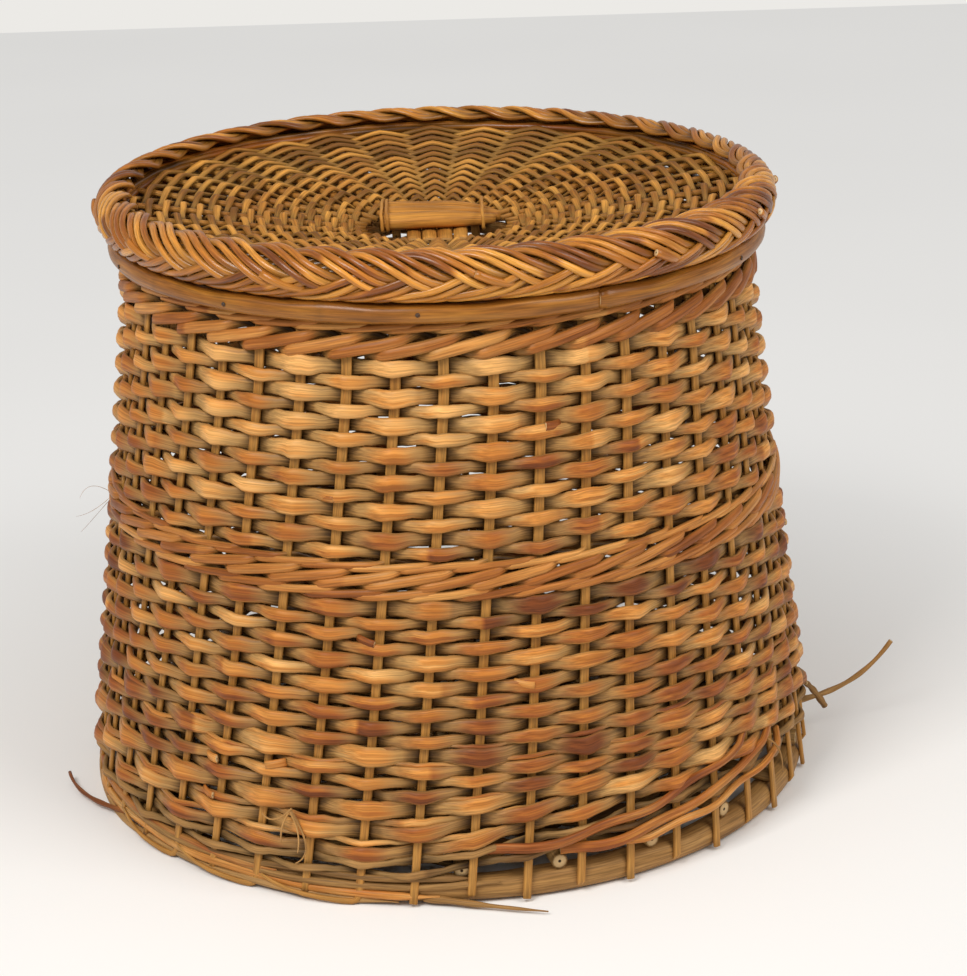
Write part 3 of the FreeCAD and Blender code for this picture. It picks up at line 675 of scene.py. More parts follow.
@dataclass(frozen=True)
class Willow:
    """Peeled willow: satin, streaked along the rod, darker with painted shade where it is tucked
    in.

    palette: The range of tones from rod to rod, from pale to dark.
    tucked: The grey straw of the parts that lie behind their neighbours.
    gap_shade_and_pith: The painted shade in the gaps, and the dark pith of a cut end.
    sawn: The pale wood of a cut end.
    """

    name: str
    palette: tuple[str, ...]
    tucked: str
    gap_shade_and_pith: str
    sawn: str = "c9a878"
    rough: float = 0.5
    shine: float = 0.24
    coat: float = 0.0
    contrast: float = 1.0
    bump: float = 0.35

    def material(self) -> bpy.types.Material:
        """Write the finish as a procedural material.

        Returns:
            The material.
        """
        material, b = blank(self.name)
        tone, proud, cut = (b.get("ShaderNodeAttribute", output="Fac", attribute_name=name)
                            for name in ("tone", "proud", "cut"))
        grain = b.get("ShaderNodeUVMap", uv_map="grain")
        spot = b.get("ShaderNodeTexCoord", output="Object")
        run, long_run = (b.get("ShaderNodeMapping", {"Vector": grain, "Scale": Vector(pace)})
                         for pace in ((9.0, 330.0, 1.0), (5.0, 90.0, 1.0)))
        # fine fibres, a third of a millimetre apart, that run along the rod
        fibre = b.get("ShaderNodeTexNoise", {"Vector": run, "Scale": 3.0, "Detail": 3.0,
                                             "Roughness": 0.6})
        # stains a few centimetres long, where the bark was stripped unevenly
        streak = b.get("ShaderNodeTexNoise", {"Vector": long_run, "Scale": 2.2, "Detail": 2.0})
        # weathering that wanders over several rods at once
        patch = b.get("ShaderNodeTexNoise", {"Vector": spot, "Scale": 16.0, "Detail": 2.0})
        ramp = b.add("ShaderNodeValToRGB", {"Fac": tone + (streak - 0.5) * 0.9 * self.contrast
                                            + (patch - 0.5) * 0.5 * self.contrast})
        stops = ramp.color_ramp.elements
        while len(stops) < len(self.palette):
            stops.new(0.5)
        for i, code in enumerate(self.palette):
            stops[i].position = i / (len(self.palette) - 1)
            stops[i].color = linear(code)
        worn = proud + (streak - 0.5) * 0.5 + (patch - 0.5) * 0.5 * self.contrast
        # of these masks, the second paints shade in the gaps, on faces tucked behind a stake or
        # turned inward
        faded, painted_gap_shade, fleck, sawn, pith = (
            b.get("ShaderNodeMapRange", dict(enumerate(steps)), **EASED) for steps in (
                (worn, 0.35, 0.9, 0.75, 0.0),
                (proud + (fibre - 0.5) * 0.25, 0.02, 0.42, 0.85, 0.0),
                (fibre, 0.3, 0.7, 0.66, 1.2), (cut, 0.05, 0.3), (cut, 0.74, 0.86)))
        flecks = b.get("ShaderNodeCombineXYZ", {0: fleck, 1: fleck, 2: fleck})
        colour = b.out(ramp)
        for share, coat, blend in (
                # between the proud crowns and the tucked ends the orange fades to grey straw
                (faded, linear(self.tucked), "MIX"),
                # painted shade in the gaps, then dark flecks and pale fibres
                (painted_gap_shade, linear(self.gap_shade_and_pith), "MIX"), (1.0, flecks, "MULTIPLY"),
                # a sawn end: pale wood round a dark pith
                (sawn, linear(self.sawn), "MIX"), (pith, linear(self.gap_shade_and_pith), "MIX")):
            colour = b.get("ShaderNodeMix", {"Factor": share, "A": colour, "B": coat},
                           "Result", data_type="RGBA", blend_type=blend)
        relief = b.get("ShaderNodeBump", {"Strength": self.bump, "Distance": 0.0006,
                                          "Height": fibre + streak * 1.5})
        shader = b.get("ShaderNodeBsdfPrincipled",
                       {"Base Color": colour, "Normal": relief, "Roughness": self.rough,
                        "IOR": 1.45, "Specular IOR Level": self.shine,
                        "Coat Weight": self.coat, "Coat Roughness": 0.25})
        b.add("ShaderNodeOutputMaterial", {"Surface": shader})
        return material


@dataclass(frozen=True)
class Steel:
    """Small cut nails, dark and a little rusty."""

    name: str
    metal: str
    rust: str

    def material(self) -> bpy.types.Material:
        """Write the finish as a procedural material.

        Returns:
            The material.
        """
        material, b = blank(self.name)
        # rust in patches under a millimetre across
        spot = b.get("ShaderNodeTexCoord", output="Object")
        rusty = b.get("ShaderNodeTexNoise", {"Vector": spot, "Scale": 900.0, "Detail": 3.0})
        share, rough = (b.get("ShaderNodeMapRange", dict(enumerate(steps)), **EASED)
                        for steps in ((rusty, 0.4, 0.65), (rusty, 0.3, 0.7, 0.4, 0.8)))
        colour = b.get("ShaderNodeMix", {"Factor": share, "A": linear(self.metal),
                                         "B": linear(self.rust)}, "Result", data_type="RGBA")
        shader = b.get("ShaderNodeBsdfPrincipled",
                       {"Base Color": colour, "Metallic": 0.6, "Roughness": rough})
        b.add("ShaderNodeOutputMaterial", {"Surface": shader})
        return material


@dataclass(frozen=True)
class Paper:
    """The plain pale floor, a little uneven in tone."""

    name: str
    pale: str
    paler: str

    def material(self) -> bpy.types.Material:
        """Write the finish as a procedural material.

        Returns:
            The material.
        """
        material, b = blank(self.name)
        spot = b.get("ShaderNodeTexCoord", output="Object")
        cloud = b.get("ShaderNodeTexNoise", {"Vector": spot, "Scale": 1.2})
        colour = b.get("ShaderNodeMix", {"Factor": cloud, "A": linear(self.pale),
                                         "B": linear(self.paler)}, "Result", data_type="RGBA")
        shader = b.get("ShaderNodeBsdfPrincipled", {"Base Color": colour, "Roughness": 0.8})
        # seen directly and away from the hamper, the paper keeps an even pale tone
        glow = b.get("ShaderNodeEmission", {"Color": colour, "Strength": 0.97})
        away = b.get("ShaderNodeVectorMath", {0: spot}, "Value", operation="LENGTH")
        far = b.get("ShaderNodeMapRange", {0: away, 1: 0.30, 2: 1.0, 3: 0.0, 4: 0.6}, **EASED)
        seen = b.get("ShaderNodeLightPath", output="Is Camera Ray") * far
        mixed = b.get("ShaderNodeMixShader", {0: seen, 1: shader, 2: glow})
        b.add("ShaderNodeOutputMaterial", {"Surface": mixed})
        return material


class Finishes:
    """Every finish of the hamper, made once."""

    def __init__(self) -> None:
        """Make the materials."""
        # the third colour of each willow is the painted shade in its gaps, and also the dark pith
        # of its cut ends
        self.stake = Willow("stake_willow", ("d39b54", "c08a44", "a87233", "875823"),
                            "98703a", "3a2009").material()
        self.wall = Willow("wall_willow", ("e2a862", "cd8941", "b46e2d", "965323", "703a19"),
                           "9a7a4a", "281302", rough=0.42, contrast=1.3, bump=0.5).material()
        self.wale = Willow("wale_willow", ("c98e4a", "b47436", "9a5a24", "7a421b"),
                           "8f6b3a", "2a1504", rough=0.42, contrast=1.25).material()
        # the hoop cane's palette is darkened with painted shadow, the shadow that the border
        # casts on the rim hoop and its lining
        self.cane = Willow("shadowed_hoop_cane", ("b0762c", "935c20", "754516", "57300f"), "6a4418",
                           "2a1606", rough=0.34, coat=0.2, contrast=1.3, bump=0.2).material()
        self.straw = Willow("weathered_cane", ("bd9058", "a67b46", "8c6537", "6e4d29"),
                            "7e6138", "2c1a0a", rough=0.55, contrast=1.3, bump=0.4).material()
        self.base = Willow("base_willow", ("a98452", "916e3e", "79572b", "624321"),
                           "7b5c30", "2a1809", rough=0.6).material()
        self.border = Willow("border_willow",
                             ("e09d42", "c98432", "b06b22", "92521a", "6f3a13"), "8f5f24",
                             "2a1403", rough=0.3, coat=0.4, bump=0.25,
                             contrast=1.15).material()
        self.lid = Willow("lid_willow", ("d19341", "b57a33", "986126", "774c1e"), "926d33",
                          "351d07", sawn="a5783f", contrast=1.3).material()
        self.steel = Steel("nail_steel", "4a4540", "5c3a22").material()


@dataclass
class Workshop:
    """The looms, the array and the finishes that the sub-assemblies share."""

    finish: Finishes = field(default_factory=Finishes)
    array: RoundArray = field(default_factory=RoundArray)
    weave: WovenRod = field(default_factory=WovenRod)
    wale: WaledRod = field(default_factory=WaledRod)
    plait: PlaitedRod = field(default_factory=PlaitedRod)


# ------------------------------------------------------------------ the wall

class Ending(Enum):
    """How a stake ends at the floor."""

    CUT = "cut off"
    HOOK = "turned in under the hoop"
    ALONG = "turned aside along the hoop"


# for each ending, steps beyond the stake's foot: angle aside, distance inward and drop
ENDINGS = {Ending.CUT: (), Ending.HOOK: ((0.0, 0.0020, 0.0035), (0.0, 0.0055, 0.0065)),
           Ending.ALONG: ((0.002, -0.0005, 0.0040), (0.008, -0.0014, 0.0072),
                          (0.018, -0.0024, 0.0082), (0.050, -0.0040, 0.0078),
                          (0.100, -0.0048, 0.0068), (0.145, -0.0050, 0.0058),
                          (0.190, -0.0044, 0.0040), (0.235, -0.0030, 0.0010),
                          (0.270, -0.0022, -0.0030))}


@dataclass(frozen=True)
class Band:
    """A band of three rods twisted round the stakes.

    height: Height of its middle.
    thick, tall: Thickness and width of a rod.
    rise: How far a stroke climbs.
    shift: Where its strokes start, in stakes.
    seed: Keeps its wobble apart from other bands'.
    """

    height: float
    thick: float
    tall: float
    rise: float
    shift: float
    seed: int


@dataclass
class Wall:
    """The woven wall: stakes, rows and wales.

    The stakes lean a little to one side as they go down, and the weave goes with them.

    rows: Height and tallness of each row of the lower panel.
    packing: Height, width and phase of each thin rod between the lowest rows.
    packing_lifts: Two heights, and how far such a rod rises there.
    turned_along, last_turned: How many stakes turn aside at the foot, and the last one's place.
    low_lifts: How far each of the lowest rows rises round lift_at.
    """

    shop: Workshop
    stakes: int = 44
    floor_radius: float = 0.328
    belly_radius: float = 0.3045
    rim_radius: float = 0.2645
    belly_height: float = 0.170
    rim_height: float = 0.501
    waist_height: float = 0.258
    stake_thick: float = 0.0036
    stake_wide_foot: float = 0.0070
    stake_wide_top: float = 0.0090
    stake_tilt: float = 0.15
    stake_shift: float = 0.0025
    hooked_foot: float = 0.011
    plain_foot: float = 0.003
    lean_per_metre: float = math.radians(16.0)
    lean_free_height: float = 0.43
    rod_thick: float = 0.0068
    rod_clear: float = 0.0011
    rod_pinch: float = 0.2
    rod_wander: float = 0.0017
    wale_clear: float = 0.0008
    wale_wander: float = 0.0008
    plump: float = 1.2
    tone_range: float = 0.7
    low_tone: float = 0.18
    rows: tuple[tuple[float, float], ...] = (
        (0.046, 0.0100), (0.062, 0.0115), (0.082, 0.0130), (0.095, 0.0095), (0.1055, 0.0085),
        (0.1155, 0.0095), (0.128, 0.0142), (0.141, 0.0095), (0.152, 0.0105), (0.163, 0.0100),
        (0.174, 0.0095), (0.185, 0.0112), (0.1965, 0.0100), (0.207, 0.0115), (0.2185, 0.0098),
        (0.229, 0.0092), (0.239, 0.0086), (0.2505, 0.0135))
    all_rows: int = 32
    packing: tuple[tuple[float, float, int], ...] = (
        (0.0275, 0.0070, 1), (0.0370, 0.0080, 0), (0.0545, 0.0060, 0), (0.0715, 0.0080, 1),
        (0.0885, 0.0050, 0), (0.1215, 0.0045, 1), (0.1350, 0.0045, 0))
    packing_half: float = 0.0024
    packing_swing: float = 0.0030
    packing_pinch: float = 0.3
    packing_wander: float = 0.0022
    packing_lifts: tuple[tuple[float, float], ...] = ((0.04, 0.12), (0.024, 0.003))
    pale_packing: int = 2
    turned_along: int = 3
    last_turned: int = 10
    low_lifts: tuple[float, ...] = (0.0300, 0.0255, 0.0150, 0.0090, 0.0050, 0.0020)
    lift_at: float = math.radians(-36.0)
    lift_from: float = math.cos(math.radians(60.0))
    waist: tuple[Band, ...] = (Band(0.2865, 0.0050, 0.0062, 0.008, 0.4, 300),
                               Band(0.2760, 0.0072, 0.0088, 0.022, 0.0, 310),
                               Band(0.2640, 0.0056, 0.0070, 0.011, 1.2, 320))
    top: tuple[Band, ...] = (Band(0.4790, 0.0050, 0.0060, 0.009, 0.8, 330),
                             Band(0.4640, 0.0078, 0.0105, 0.026, 0.0, 340))

    def radius_at(self, height: float) -> float:
        """Radius of the stake line at a height."""
        return float(np.interp(height, (0.0, self.belly_height, self.rim_height),
                               (self.floor_radius, self.belly_radius, self.rim_radius)))

    def lean_at(self, height: float) -> float:
        """Angle above the horizontal of the wall's outward direction at a height."""
        step = 0.01
        return math.atan2(self.radius_at(height - step) - self.radius_at(height + step), 2 * step)

    def twist_at(self, height: float) -> float:
        """How far round the stakes have leant at a height."""
        return -self.lean_per_metre * max(self.lean_free_height - height, 0.0)

    def on_wall(self, height: float, thick: float, tall: float) -> dict[str, float]:
        """The inputs that set a rod on the wall.

        Args:
            height: Height of its middle.
            thick: Its thickness.
            tall: Its width.

        Returns:
            Inputs for a loom.
        """
        return {"Twist": self.twist_at(height), "Radius": self.radius_at(height),
                "Height": height, "Lean": self.lean_at(height), "Sticks": float(self.stakes),
                "Half_Thick": thick / 2, "Half_Wide": tall / 2}

    def stake_mesh(self, foot: float, ending: Ending) -> bpy.types.Mesh:
        """One stake where it stands at angle zero.

        Args:
            foot: Height of its foot.
            ending: How it ends there.

        Returns:
            Its mesh.
        """
        places = [(self.twist_at(height), self.radius_at(height), height, self.stake_tilt)
                  for height in np.linspace(foot, self.rim_height - 0.001, 34)]
        tilt = -0.6 if ending is Ending.HOOK else 0.1
        for aside, inward, drop in ENDINGS[ending]:
            places.insert(0, (self.twist_at(foot) - aside, self.radius_at(foot) - inward,
                              foot - drop, tilt))
        turn, radius, level, tilts = np.array(places).T
        wide = np.interp(level, (0.0, self.rim_height),
                         (self.stake_wide_foot, self.stake_wide_top)) / 2
        thick = np.full(len(places), self.stake_thick / 2)
        turned = len(ENDINGS[ending])
        if ending is Ending.HOOK:
            thick[:turned], wide[:turned] = (0.0006, 0.0013), wide[:turned] * 0.75
        if ending is Ending.ALONG:
            for half, tip, root in ((wide, 0.0014, 0.0027), (thick, 0.0009, 0.0018)):
                half[:turned] = np.interp(range(turned), (0, turned - 1), (tip, root))
        return Rod(round_axis(radius, turn, level), round_axis(1.0, turn, tilts), thick, wide,
                   sides=10, square=0.55, proud=0.75).mesh()

    def build_stakes(self) -> None:
        """Set the two kinds of stake in turn round the hamper."""
        step = FULL_TURN / self.stakes
        half, turned = self.stakes // 2, self.turned_along
        kinds = (("hooked_stakes", 0, half - turned, self.hooked_foot, Ending.HOOK),
                 ("hooked_stakes", -2 * turned, turned, self.hooked_foot, Ending.ALONG),
                 ("plain_stakes", 1, half, self.plain_foot, Ending.CUT))
        meshes: dict[str, list[bpy.types.Mesh]] = {}
        for name, place, number, foot, ending in kinds:
            meshes.setdefault(name, []).append(self.shop.array.spread(
                self.stake_mesh(foot, ending), self.shop.finish.stake, Count=number,
                Start=(place - self.last_turned) * step, Step=2 * step,
                Turn_Jitter=self.stake_shift, Seed=3 + place % 7, Tone_Low=0.15,
                Tone_High=0.75))
        for name, parts in meshes.items():
            settle("dressed_" + name, parts, Body.HAMPER, "willow_stake", name)

    def build_row(self, number: int, height: float, tall: float, phase: int) -> None:
        """Weave one row.

        Args:
            number: The row's number from the floor.
            height: Height of its middle.
            tall: Its height.
            phase: Whether it starts in front of the first stake or behind it.
        """
        dice = np.random.default_rng(100 + number)
        low = (float(dice.uniform(-self.low_tone, self.low_tone))
               + (self.low_tone if height < self.waist_height else 0.0))
        mesh = self.shop.weave.grow(
            self.shop.finish.wall, **self.on_wall(height, self.rod_thick, tall * self.plump),
            Stations=self.stakes * 10 + 1, Seed=number, Rods=8.0 + number % 5, Tone_Low=low,
            Tone_High=low + self.tone_range, Phase=float(phase),
            Swing=self.stake_thick / 2 + self.rod_thick / 2 + self.rod_clear,
            Pinch=self.rod_pinch, Wander=self.rod_wander,
            Lift=self.low_lifts[number - 1] if number <= len(self.low_lifts) else 0.0,
            Lift_At=self.lift_at, Lift_From=self.lift_from)
        settle(f"rod_row_{number:02d}", [mesh], Body.HAMPER, "willow_weaver",
               f"weaver_row_{number:02d}")

    def build_rows(self) -> None:
        """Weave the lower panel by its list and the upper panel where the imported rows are."""
        for i, (height, tall) in enumerate(self.rows):
            self.build_row(i + 1, height, tall, i)
        for number in range(len(self.rows) + 1, self.all_rows + 1):
            low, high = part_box(f"weaver_row_{number:02d}")
            self.build_row(number, (low.z + high.z) / 2, high.z - low.z, number)

    def build_packing(self) -> None:
        """Thin rods packed in between the loose rows at the foot."""
        rods = [self.shop.weave.grow(
            self.shop.finish.straw if i < self.pale_packing else self.shop.finish.wall,
            **self.on_wall(height, 2 * self.packing_half, tall), Stations=self.stakes * 8 + 1,
            Sides=8, Seed=60 + i, Rods=9.0, Tone_Low=0.2, Phase=float(phase),
            Swing=self.stake_thick / 2 + self.packing_swing, Pinch=self.packing_pinch,
            Wander=self.packing_wander, Lift=float(np.interp(height, *self.packing_lifts)),
            Lift_At=self.lift_at, Lift_From=self.lift_from)
            for i, (height, tall, phase) in enumerate(self.packing)]
        settle("packed_in_rods", rods, Body.HAMPER, "willow_weaver")

    def twisted(self, band: Band) -> list[bpy.types.Mesh]:
        """Twist the three rods of a band round the stakes.

        Args:
            band: The band.

        Returns:
            Its rods.
        """
        return [self.shop.wale.grow(
            self.shop.finish.wale, **self.on_wall(band.height, band.thick, band.tall),
            Stations=self.stakes * 9 + 1, Start=math.pi / 2, Seed=band.seed + lane, Rods=5.0,
            Tone_Low=0.05, Tone_High=0.85, Lane=lane + band.shift,
            Swing=self.stake_thick / 2 + band.thick / 2 + self.wale_clear, Rise=band.rise,
            Wander=self.wale_wander) for lane in range(3)]

    def build_wales(self) -> None:
        """Twist the waist wale and the wale under the rim."""
        for name, bands, node in (("waist_wale_rods", self.waist, "mid_wale"),
                                  ("rim_wale_rods", self.top, "top_wale")):
            rods = [rod for band in bands for rod in self.twisted(band)]
            settle(name, rods, Body.HAMPER, "willow_wale", node)

    def build(self) -> None:
        """Make the whole wall."""
        self.build_stakes()
        self.build_rows()
        self.build_packing()
        self.build_wales()


# ------------------------------------------------------------------ hoops and base

@dataclass
class Hoops:
    """The foot hoop, the rim hoop with its slanted scarf, and the inner hoop.

    laid: First and last angle, height, half width and colour (pale or not) of each rod that is
        laid along the foot hoop.
    """

    shop: Workshop
    stations: int = 264
    scarf_at: float = math.radians(26.0 - 90.0)
    scarf: float = math.radians(11.0)
    scarf_step: float = 0.0022
    knots: int = 9
    knot_reach: float = 0.018
    laid: tuple[tuple[float, float, float, float, bool], ...] = (
        (-184.0, -99.0, 0.0040, 0.0032, True), (-171.0, -93.0, 0.0105, 0.0037, False),
        (-158.0, -84.0, 0.0170, 0.0033, True), (-196.0, -118.0, 0.0205, 0.0036, False),
        (-133.0, -88.0, 0.0225, 0.0030, True))

    def ring(self, node: str, finish: bpy.types.Material, start: float, tone: float,
             scarf_step: float = 0.0) -> bpy.types.Mesh:
        """A cane bent into a hoop that fills a packed hoop's section.

        Its first end is blunt and lies in front; its last end is shaved thin behind it.

        Args:
            node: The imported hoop.
            finish: Its material.
            start: Where it starts.
            tone: Its tone.
            scarf_step: How far its first end stands in front.

        Returns:
            Its mesh.
        """
        low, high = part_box(node)
        inner = min(math.hypot(*v.co.xy) for v in bpy.data.objects[node].data.vertices)
        run = np.linspace(0.0, FULL_TURN + self.scarf, self.stations)
        front = np.clip(1 - run / (1.6 * self.scarf), 0, 1)
        behind = np.clip(1 - (run[-1] - run) / (1.2 * self.scarf), 0, 1)
        angles = start + run
        knots = np.random.default_rng(7).uniform(0, FULL_TURN, self.knots)
        bumps = sum(np.exp(-((run - knot) / self.knot_reach) ** 2) for knot in knots)
        wobble = 0.0006 * np.sin(angles * 9) + 0.0004 * np.sin(angles * 23 + 1)
        spine = round_axis((inner + high.x) / 2 + scarf_step * (front - behind), angles,
                           (low.z + high.z) / 2 + wobble * 0.5)
        thick = (high.x - inner) / 2 * (1 - 0.7 * behind + 0.05 * bumps)
        wide = (high.z - low.z) / 2 * (0.985 - 0.25 * behind + 0.03 * bumps) + wobble
        blunt = np.minimum(np.arange(self.stations) / 1.5 + 0.82, 1.0)
        return Rod(spine, round_axis(1.0, angles, 0.0), thick * blunt, wide * blunt, sides=16,
                   tone=tone, proud=0.9 - 0.25 * np.clip(bumps, 0, 1)).mesh(finish)

    def build_laid(self) -> None:
        """Rods laid along the foot hoop at the front left, between it and the stakes."""
        wall, rods = Wall(self.shop), []
        for i, (start, end, height, half, pale) in enumerate(self.laid):
            angles = np.radians(np.linspace(start, end, 80))
            along = np.linspace(0.0, 1.0, 80)
            heights = height + 0.0016 * np.sin(angles * 5 + i) + 0.0007 * np.sin(angles * 17 + i)
            radius = wall.radius_at(height) - 0.0010 + 0.0008 * np.sin(angles * 11 + 2 * i)
            thin = np.clip(np.minimum(along, 1 - along) * 14, 0.25, 1.0)
            finish = self.shop.finish.straw if pale else self.shop.finish.wall
            rods.append(Rod(round_axis(radius, angles, heights), round_axis(1.0, angles, 0.0),
                            half * 0.9 * thin, half * thin, sides=10, square=0.95,
                            tone=0.15 + 0.17 * i, proud=0.75).mesh(finish))
        settle("rods_laid_on_foot", rods, Body.HAMPER, "willow_weaver")

    def build(self) -> None:
        """Make the hoops."""
        self.build_laid()
        # the rim and lining canes carry the border's painted shadow in their colour
        cane, straw = self.shop.finish.cane, self.shop.finish.straw
        for name, node, finish, start, tone, step in (
                ("rim_cane", "rim_hoop", cane, self.scarf_at, 0.35, self.scarf_step),
                ("lining_cane", "rim_lining", cane, 1.0, 0.5, 0.0),
                ("foot_cane", "foot_hoop", straw, 2.0, 0.45, 0.0)):
            settle(name, [self.ring(node, finish, start, tone, step)], Body.HAMPER,
                   "cane_hoop", node)


@dataclass
class Nails:
    """Cut nails through the rim hoop, one between every other pair of stakes."""

    shop: Workshop
    count: int = 11
    head_radius: float = 0.0019
    shank_radius: float = 0.0009
    crown_radius: float = 0.0010
    depths: tuple[float, ...] = (0.0200, 0.0009, 0.0008, 0.0003, 0.0)

    def build(self) -> None:
        """Spread round-headed nails over the hoop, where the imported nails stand."""
        low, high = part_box("rim_nails")
        spine = np.array([(high.x - depth, 0.0, (low.z + high.z) / 2) for depth in self.depths])
        wide = np.array([self.shank_radius, self.crown_radius, self.head_radius,
                         self.head_radius, self.crown_radius])
        nail = Rod(spine, UP, wide, wide, square=1.0).mesh()
        angles = {round(math.atan2(v.co.y, v.co.x), 2)
                  for v in bpy.data.objects["rim_nails"].data.vertices}
        mesh = self.shop.array.spread(nail, self.shop.finish.steel, Count=self.count,
                                      Start=min(a for a in angles if a > 0),
                                      Step=FULL_TURN / self.count, Turn_Jitter=0.012,
                                      Lift_Jitter=0.0012, Seed=5)
        settle("hoop_nails", [mesh], Body.HAMPER, "nail_steel", "rim_nails")


@dataclass
class Base:
    """The base: two crossed layers of sticks, spokes that taper inwards, and the weave."""

    shop: Workshop
    spokes: int = 24
    spoke_start: float = 0.062
    spoke_reach: float = 0.308
    spoke_halves: tuple[float, float] = (0.0032, 0.0069)
    first_ring: float = 0.080
    last_ring: float = 0.288
    rings: int = 16
    rod_thick: float = 0.0060
    rod_clear: float = 0.0004
    rod_fill: float = 0.47

    def middle(self) -> float:
        """Height of the middle of the spokes."""
        low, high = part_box("base_spokes")
        return (low.z + high.z) / 2

    def build_spokes(self) -> None:
        """Round sticks whose stout butts show outside, under the first row."""
        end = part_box("base_spokes")[1].x
        reach = np.linspace(self.spoke_start + 0.0002, end, 12)
        spine = np.stack([reach, 0 * reach, 0 * reach + self.middle()], axis=1)
        half = np.interp(reach, (self.spoke_start, end), self.spoke_halves)
        spoke = Rod(spine, UP, half, half, sides=12, square=1.0).mesh()
        mesh = self.shop.array.spread(spoke, self.shop.finish.base, Count=self.spokes,
                                      Step=FULL_TURN / self.spokes, Turn_Jitter=0.01,
                                      Seed=9, Tone_Low=0.1, Tone_High=0.9)
        settle("base_round_sticks", [mesh], Body.HAMPER, "base_willow", "base_spokes")

    def build_weave(self) -> None:
        """Rings of rods over one spoke and under the next."""
        rings = []
        pitch = (self.last_ring - self.first_ring) / (self.rings - 1)
        for i in range(self.rings):
            radius = self.first_ring + pitch * i
            half = np.interp(radius, (self.spoke_start, self.spoke_reach), self.spoke_halves)
            rings.append(self.shop.weave.grow(
                self.shop.finish.base, Stations=self.spokes * 8 + 1, Sides=8,
                Half_Thick=self.rod_thick / 2, Half_Wide=pitch * self.rod_fill, Seed=400 + i,
                Sticks=float(self.spokes), Phase=float(i), Radius=radius,
                Height=self.middle(), Swing=float(half) + self.rod_thick / 2 + self.rod_clear,
                Lean=math.pi / 2, Pinch=0.1, Wander=0.0006))
        settle("base_weave", rings, Body.HAMPER, "base_willow", "base_weavers")

    def build(self) -> None:
        """Make the whole base."""
        self.build_spokes()
        self.build_weave()
        for name, across in (("base_slath_sticks", False), ("base_cross_sticks", True)):
            rods = crossed_sticks(name, 5, across, self.shop.finish.base, 0.0045)
            settle("dressed_" + name, rods, Body.HAMPER, "base_willow", name)


def crossed_sticks(node: str, count: int, across: bool, finish: bpy.types.Material,
                   half_thick: float) -> list[bpy.types.Mesh]:
    """A flat layer of sticks side by side that fills a packed layer.

    Args:
        node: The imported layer.
        count: The number of sticks.
        across: Whether they run along Y.
        finish: Their material.
        half_thick: Half of a stick's thickness.

    Returns:
        The sticks.
    """
    low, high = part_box(node)
    side, run = (low.x, high.y) if across else (low.y, high.x)
    pitch = -2 * side / count
    dice = np.random.default_rng(count)
    rods = []
    for i in range(count):
        reach = run - float(dice.uniform(0.0, 0.003))
        along = np.linspace(-reach, reach, 16)
        aside = 0 * along + side + pitch * (i + 0.5)
        height = (low.z + high.z) / 2 + 0.0004 * np.sin(along * 60 + i)
        spine = np.stack([aside, along, height] if across else [along, aside, height], axis=1)
        half = pitch / 2 * (0.97 - 0.05 * np.abs(np.sin(along * 35 + 2 * i)))
        rods.append(Rod(spine, UP, half_thick, half, sides=12, square=0.85,
                        tone=float(dice.uniform(0.2, 0.8))).mesh(finish))
    return rods


# ------------------------------------------------------------------ the lid

